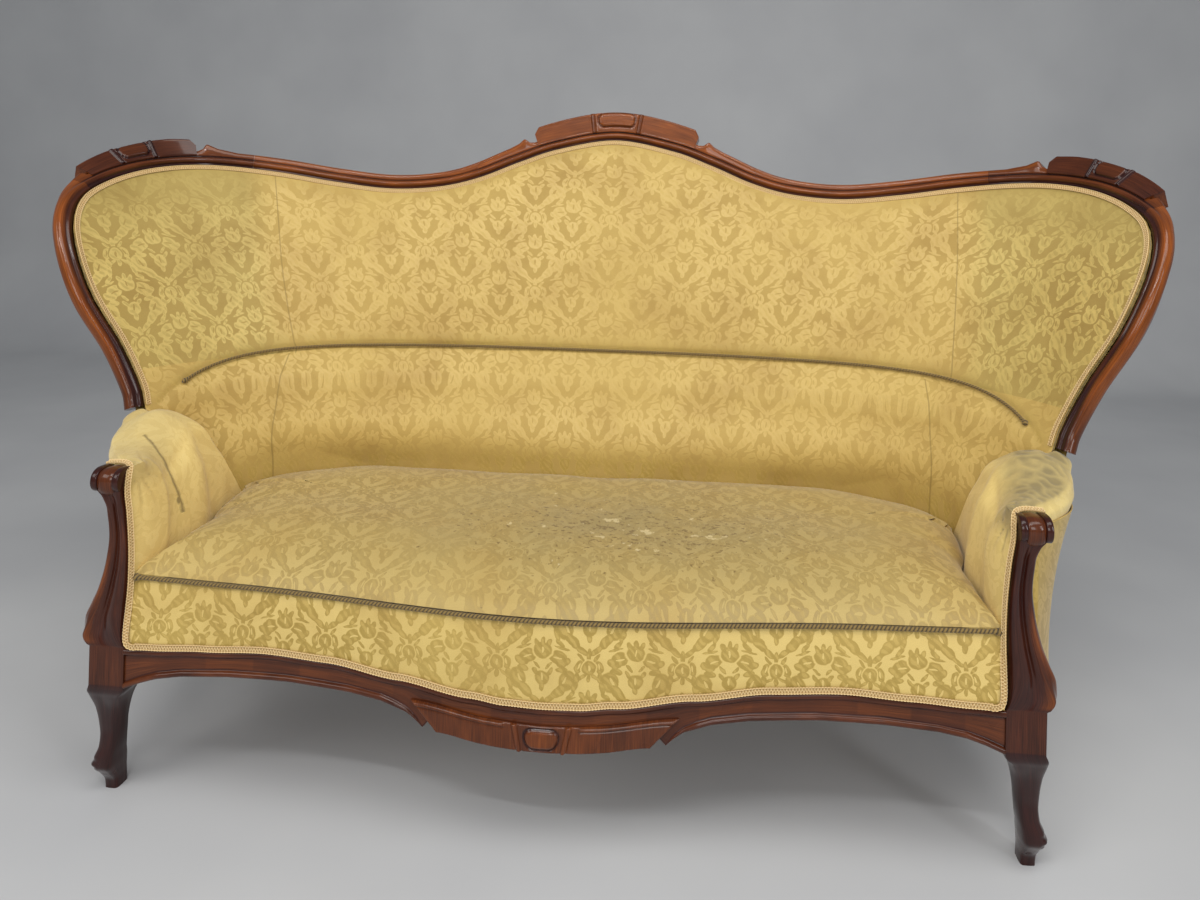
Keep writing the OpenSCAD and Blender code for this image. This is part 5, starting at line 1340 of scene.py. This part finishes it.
def twisted_cord(name, path, radius, slot_node, lay=11.0):
    """Two strands laid round each other over the path; lay is the length of one turn in millimetres."""
    side, up = frames_along(path)
    run = lengths(path)[:, None]
    a = np.linspace(0, 2 * np.pi, 15)[None]
    strand = np.abs(np.cos(a - np.pi * 2 * run / lay))
    end = np.minimum(run, run[-1] - run)
    r = radius * (0.72 + 0.28 * strand) * (0.75 + 0.25 * ease(end / 4)) * (1 + 0.8 * bell((end - 5) / 4))
    p = path[:, None] + times(side[:, None], r * np.cos(a)) + times(up[:, None], r * np.sin(a))
    # Lighter on the strands, darker in the grooves between them: painted shade
    tone = np.clip((strand - 0.35) / 0.6, 0, 1)
    skin(name, p, "olive_piping_cord", [slot_node], tone=tone, crease=80)


def resample(path, step):
    run = lengths(path)
    at = np.linspace(0, run[-1], max(2, int(run[-1] / step)))
    return vectors(*(np.interp(at, run, path[:, k]) for k in range(3)))


CORD_STEP, SEAT_CORD_R, LUMBAR_CORD_R = 1.3, 3.2, 3.0
seat_xs = np.linspace(-SEAT_HALF, SEAT_HALF, 500)
seat_path = vectors(seat_xs, border_y(seat_xs, border_top(seat_xs)) - PIPING_D * 0.45, piping_z(seat_xs))
twisted_cord("seat_piping_cord", resample(seat_path, CORD_STEP), SEAT_CORD_R, "seat_piping")
lumbar_s = np.linspace(-0.926, 0.947, 800)
lumbar_z, lumbar_phi = lumbar_line(lumbar_s)
lumbar_depth = back_n(np.clip(lumbar_phi / side_phi_at(lumbar_z), -1, 1), lumbar_phi, lumbar_z, OVERALL_H)
lumbar_path = tub_at(lumbar_phi, lumbar_z, lumbar_depth + 2.4)
twisted_cord("lumbar_piping_cord", resample(lumbar_path, CORD_STEP), LUMBAR_CORD_R, "lumbar_piping")


GIMP_REPEAT, GIMP_STEP, RAIL_GIMP_HALF = 4.2, 0.75, 601.0


def gimp(name, path, across, out, node, mirror=False, width=GIMP_W):
    """A flat braid: two scalloped edges and a zigzag cord between them, one zigzag to each GIMP_REPEAT."""
    run = lengths(path)[:, None]
    v = np.array([-1.0, -0.86, -0.62, -0.36, -0.12, 0.12, 0.36, 0.62, 0.86, 1.0])[None]
    step = run / GIMP_REPEAT
    scallop = np.abs(np.sin(np.pi * step))
    reach = width / 2 * (0.86 + 0.14 * scallop)
    zig = 4 * np.abs(step % 1 - 0.5) - 1
    cord = bell((v - zig * 0.52) / 0.26)
    edge = bell((np.abs(v) - 0.84) / 0.15) * (0.65 + 0.35 * scallop)
    h = np.where(np.abs(v) > 0.95, 0.1, 0.3 + 1.6 * np.maximum(cord, edge))
    # The last two columns are its flat underside
    h = np.concatenate([h, np.full((len(path), 2), -0.5)], 1)
    p = path[:, None] + times(across[:, None], v[:, [*range(10), 9, 0]] * reach) + times(out[:, None], h)
    # Lighter on the raised cord and edges, darker on the low ground between them: painted shade
    tone = np.clip((h - 0.3) / 1.5, 0, 1)
    skin(name, closed(p), "cream_gimp_braid", [node], tone=closed(tone), mirror=mirror, crease=80)


gimp_xs = seat_xs * RAIL_GIMP_HALF / SEAT_HALF
rail_edge = vectors(gimp_xs, border_y(gimp_xs, rail_top(gimp_xs) + 6), rail_top(gimp_xs))
rail_xs = resample(rail_edge, GIMP_STEP)[:, 0]
low_z = rail_top(rail_xs) + 1.0 + GIMP_W / 2
rail_path = vectors(rail_xs, border_y(rail_xs, low_z) - 3.0, low_z)
rail_out, rail_up = frames_along(rail_path)
gimp("rail_gimp_braid", rail_path, rail_up, rail_out, "rail_gimp")
gimp_us = np.linspace(-FOOT_U, FOOT_U, 5600)
gimp("back_gimp_braid", on_cover(gimp_us, -5.2, 7.6), *edge_axes(gimp_us)[1:], "back_gimp")
# From the rail's braid up the inner side of the post, and over the back of the scroll head: place, and
# which way the braid faces
ARM_BRAID = [
    (599, -56.6, 247, 0, -1, 0), (606, -56.6, 247.4, 0, -1, 0), (612.4, -56.4, 251, 0, -1, 0),
    (615, -55.4, 260, -0.1, -1, 0), (615.8, -53.2, 275, -0.35, -1, 0), (616.2, -49.5, 296, -0.7, -0.8, 0),
    (616.8, -46, 320, -0.9, -0.5, 0), (617, -44.5, 350, -0.95, -0.4, 0), (618.2, -44, 390, -0.95, -0.4, 0),
    (622, -44, 435, -0.95, -0.4, 0.1), (627, -43, 466, -0.9, -0.3, 0.3), (629, -38, 487, -0.8, -0.3, 0.5),
    (634, -29, 498.5, -0.4, -0.3, 1), (646, -23.5, 501.5, 0, -0.3, 1), (662, -23, 501.5, 0, -0.3, 1),
    (674, -22.5, 500, 0.3, -0.3, 1),
]
braid = through([[i, *row] for i, row in enumerate(ARM_BRAID)], np.linspace(0, len(ARM_BRAID) - 1, 900))
for side, mirror in SIDES:
    run = lengths(braid[:, :3])
    arm_path = resample(braid[:, :3], GIMP_STEP)
    at = np.linspace(0, run[-1], len(arm_path))
    out = vectors(*(np.interp(at, run, braid[:, k]) for k in (3, 4, 5)))
    tangent = unit(np.gradient(arm_path, axis=0))
    out = unit(out - tangent * np.sum(out * tangent, -1, keepdims=True))
    gimp(f"arm_gimp_{side}_braid", arm_path, np.cross(tangent, out), out, f"arm_gimp_{side}", mirror, 9.0)

# Springs, hessian and webbing
STRAP_W, STRAP_T, PITCH = 50.0, 1.8, 2 * SPAN_HALF / 6.4
STRAP_Z = RAIL_Z - CLEAR - STRAP_T


def spring_places():
    ys = [mix(LEDGER_Y + BEECH_T, REAR_INNER, (j + 0.6) / 2.2) for j in range(2)]
    return [((i - 2.5) * PITCH, y) for i in range(6) for y in ys]


def springs():
    t = np.linspace(0, 1, 120)
    a = t * 3 * 2 * np.pi
    r = (SPRING_D - WIRE_D) / 2 * mix(0.62, 1, np.abs(2 * t - 1) ** 1.4)
    z = mix(STRAP_Z + STRAP_T + CLEAR + WIRE_D / 2, SPRING_TOP - WIRE_D / 2, t)
    for k, (x, y) in enumerate(spring_places()):
        path = vectors(x + r * np.cos(a), y + r * np.sin(a), z)
        side, up = frames_along(path)
        b = np.linspace(0, 2 * np.pi, 9)[None]
        ring = side[:, None] * np.cos(b)[..., None] + up[:, None] * np.sin(b)[..., None]
        skin(f"seat_spring_{k + 1}", path[:, None] + ring * WIRE_D / 2, "coppered_spring_wire",
             ["seat_springs"] if k == 0 else (), crease=80)


def strap(name, x0, x1, y0, y1, z, node, along_x):
    """A band of jute webbing; the first of each set stands for the set's node."""
    if along_x:
        u, v = np.meshgrid(np.linspace(x0, x1, 120), np.linspace(y0, y1, 9), indexing="ij")
    else:
        v, u = np.meshgrid(np.linspace(y0, y1, 60), np.linspace(x0, x1, 9), indexing="ij")
    top, under = (vectors(u, v, z + up) for up in (STRAP_T, 0))
    p = closed(np.concatenate([top, under[:, ::-1]], 1))
    piece = skin(name, p, "woven_jute", [node] if node else ())


def webbing():
    for k in range(3):
        y = mix(LEDGER_Y + BEECH_T, REAR_INNER, (k + 1) / 4.5)
        reach = float(tub(np.degrees(np.arctan2(1, y / tub_b(RAIL_TOP))), RAIL_TOP)[0])
        strap(f"long_strap_{k + 1}", -reach, reach, y - STRAP_W / 2, y + STRAP_W / 2,
              STRAP_Z - STRAP_T - CLEAR, "webbing_long" if k == 0 else None, True)
    for k in range(6):
        x = (k - 2.5) * PITCH
        strap(f"cross_strap_{k + 1}", x - STRAP_W / 2, x + STRAP_W / 2, LEDGER_Y + CLEAR,
              REAR_INNER + CLEAR + FRAME_T / 2, STRAP_Z, "webbing_cross" if k == 0 else None, False)


def hessian():
    ring = seat_outline(HESSIAN_END, 0, FRONT_SLOPE)
    middle = np.array([0, REAR_INNER / 2, HESSIAN_END])
    top = np.array([middle + (ring - middle) * share for share in (0.02, 0.3, 0.6, 0.85, 1.0)])
    p = sandwich(top, top[::-1] - [0, 0, STRAP_T])
    piece = skin("spring_hessian_cloth", closed(p), "woven_jute", ["spring_hessian"], ends=False)


springs()
webbing()
hessian()

# Carried-over pieces
for node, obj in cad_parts.items():
    if obj.get("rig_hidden") or obj.hide_render:
        continue
    obj.data.materials.clear()
    obj.data.materials.append(FINISHES["stained_beech" if node.startswith("back_leg") else "planed_beech"])

# Floor, light and camera


FLOOR_HALF, WALL_Y, WALL_H, SWEEP = 6.0, 3.4, 5.0, 0.6  # metres


def stage():
    """A painted floor that curves up into a wall."""
    node, surface, _, where, _ = new_material("painted_floor")
    mottle = node("TexNoise", where, Scale=1.8, Detail=3.0)
    surface(Base_Color=node("ValToRGB", mottle, stops=[(0.3, "#bcbdbf"), (0.7, "#c6c7c8")]), Roughness=0.55)
    bm = bmesh.new()
    bmesh.ops.create_grid(bm, x_segments=1, y_segments=1, size=FLOOR_HALF)
    back = [e for e in bm.edges if all(v.co.y > 0 for v in e.verts)]
    made = bmesh.ops.extrude_edge_only(bm, edges=back)["geom"]
    for v in bm.verts:
        v.co.y = WALL_Y if v.co.y > 0 else -FLOOR_HALF
    for v in (g for g in made if isinstance(g, bmesh.types.BMVert)):
        v.co.z = WALL_H
    corner = [e for e in bm.edges if all(abs(v.co.z) < 1e-6 and v.co.y > 0 for v in e.verts)]
    bmesh.ops.bevel(bm, geom=corner, offset=SWEEP, segments=16, profile=0.5, affect="EDGES", material=-1)
    for f in bm.faces:
        f.smooth = True
    add_object("studio_floor", bm, "painted_floor")


def lamp(name, size, power, at, aim, colour=(1, 1, 1)):
    light = bpy.data.lights.new(name, "AREA")
    light.shape = "RECTANGLE"
    light.size, light.size_y = size
    light.energy = power
    light.color = colour
    obj = bpy.data.objects.new(name, light)
    obj.location = at
    obj.rotation_euler = (Vector(aim) - Vector(at)).to_track_quat("-Z", "Y").to_euler()
    bpy.context.scene.collection.objects.link(obj)


# The photograph's size, focal length and middle in pixels, and where its camera stood: metres, and the
# degrees it was turned, tipped and rolled by
PHOTO_W, PHOTO_H, FOCAL_LENGTH, PHOTO_MIDDLE = 1200, 900, 846.88, (644.31, 200.0)
CAMERA_PLACE, CAMERA_TURN = (0.21412, -1.21628 - SEAT_Y / 1000, 0.90689), (-4.616, -0.116, 1.410)


def camera():
    """The photograph's view: a level camera in front of the sofa with its image shifted down."""
    data = bpy.data.cameras.new("photo_view")
    data.sensor_fit = "HORIZONTAL"
    data.sensor_width = 36.0
    data.lens = FOCAL_LENGTH / PHOTO_W * data.sensor_width
    data.shift_x = (PHOTO_W / 2 - PHOTO_MIDDLE[0]) / PHOTO_W
    data.shift_y = (PHOTO_MIDDLE[1] - PHOTO_H / 2) / PHOTO_W
    obj = bpy.data.objects.new("photo_view", data)
    bpy.context.scene.collection.objects.link(obj)
    yaw, pitch, roll = (float(np.radians(v)) for v in CAMERA_TURN)
    fwd = Vector((np.sin(yaw) * np.cos(pitch), np.cos(yaw) * np.cos(pitch), -np.sin(pitch)))
    right = Vector((np.cos(yaw), -np.sin(yaw), 0))
    up = right.cross(fwd)
    right, up = right * np.cos(roll) + up * np.sin(roll), up * np.cos(roll) - right * np.sin(roll)
    turn = Matrix((right, up, -fwd)).transposed()
    obj.matrix_world = Matrix.Translation(CAMERA_PLACE) @ turn.to_4x4()
    bpy.context.scene.camera = obj


stage()
lamp("window_left", (1.8, 1.4), 34, (-2.4, -2.6, 2.4), (0, 0, 0.5), (1.0, 0.98, 0.95))
lamp("ceiling_front", (3.2, 1.2), 54, (0.6, -1.5, 3.0), (0, 0.1, 0.4), (1.0, 0.985, 0.96))
lamp("ceiling_tube", (1.5, 0.09), 13, (-0.3, -2.1, 2.5), (0, 0, 0.7), (1.0, 1.0, 1.0))
lamp("front_wall", (1.6, 1.0), 30, (0.3, -3.4, 1.5), (0, 0, 0.5), (1.0, 0.98, 0.96))
lamp("window_right", (0.4, 1.5), 16, (2.4, -2.4, 1.4), (0, 0, 0.6), (0.97, 0.98, 1.0))
world = bpy.data.worlds.new("studio")
world.use_nodes = True
world.node_tree.nodes["Background"].inputs["Color"].default_value = colour("#dfe3e8")
world.node_tree.nodes["Background"].inputs["Strength"].default_value = 0.3
bpy.context.scene.world = world
bpy.context.scene.view_settings.view_transform = "Standard"
camera()
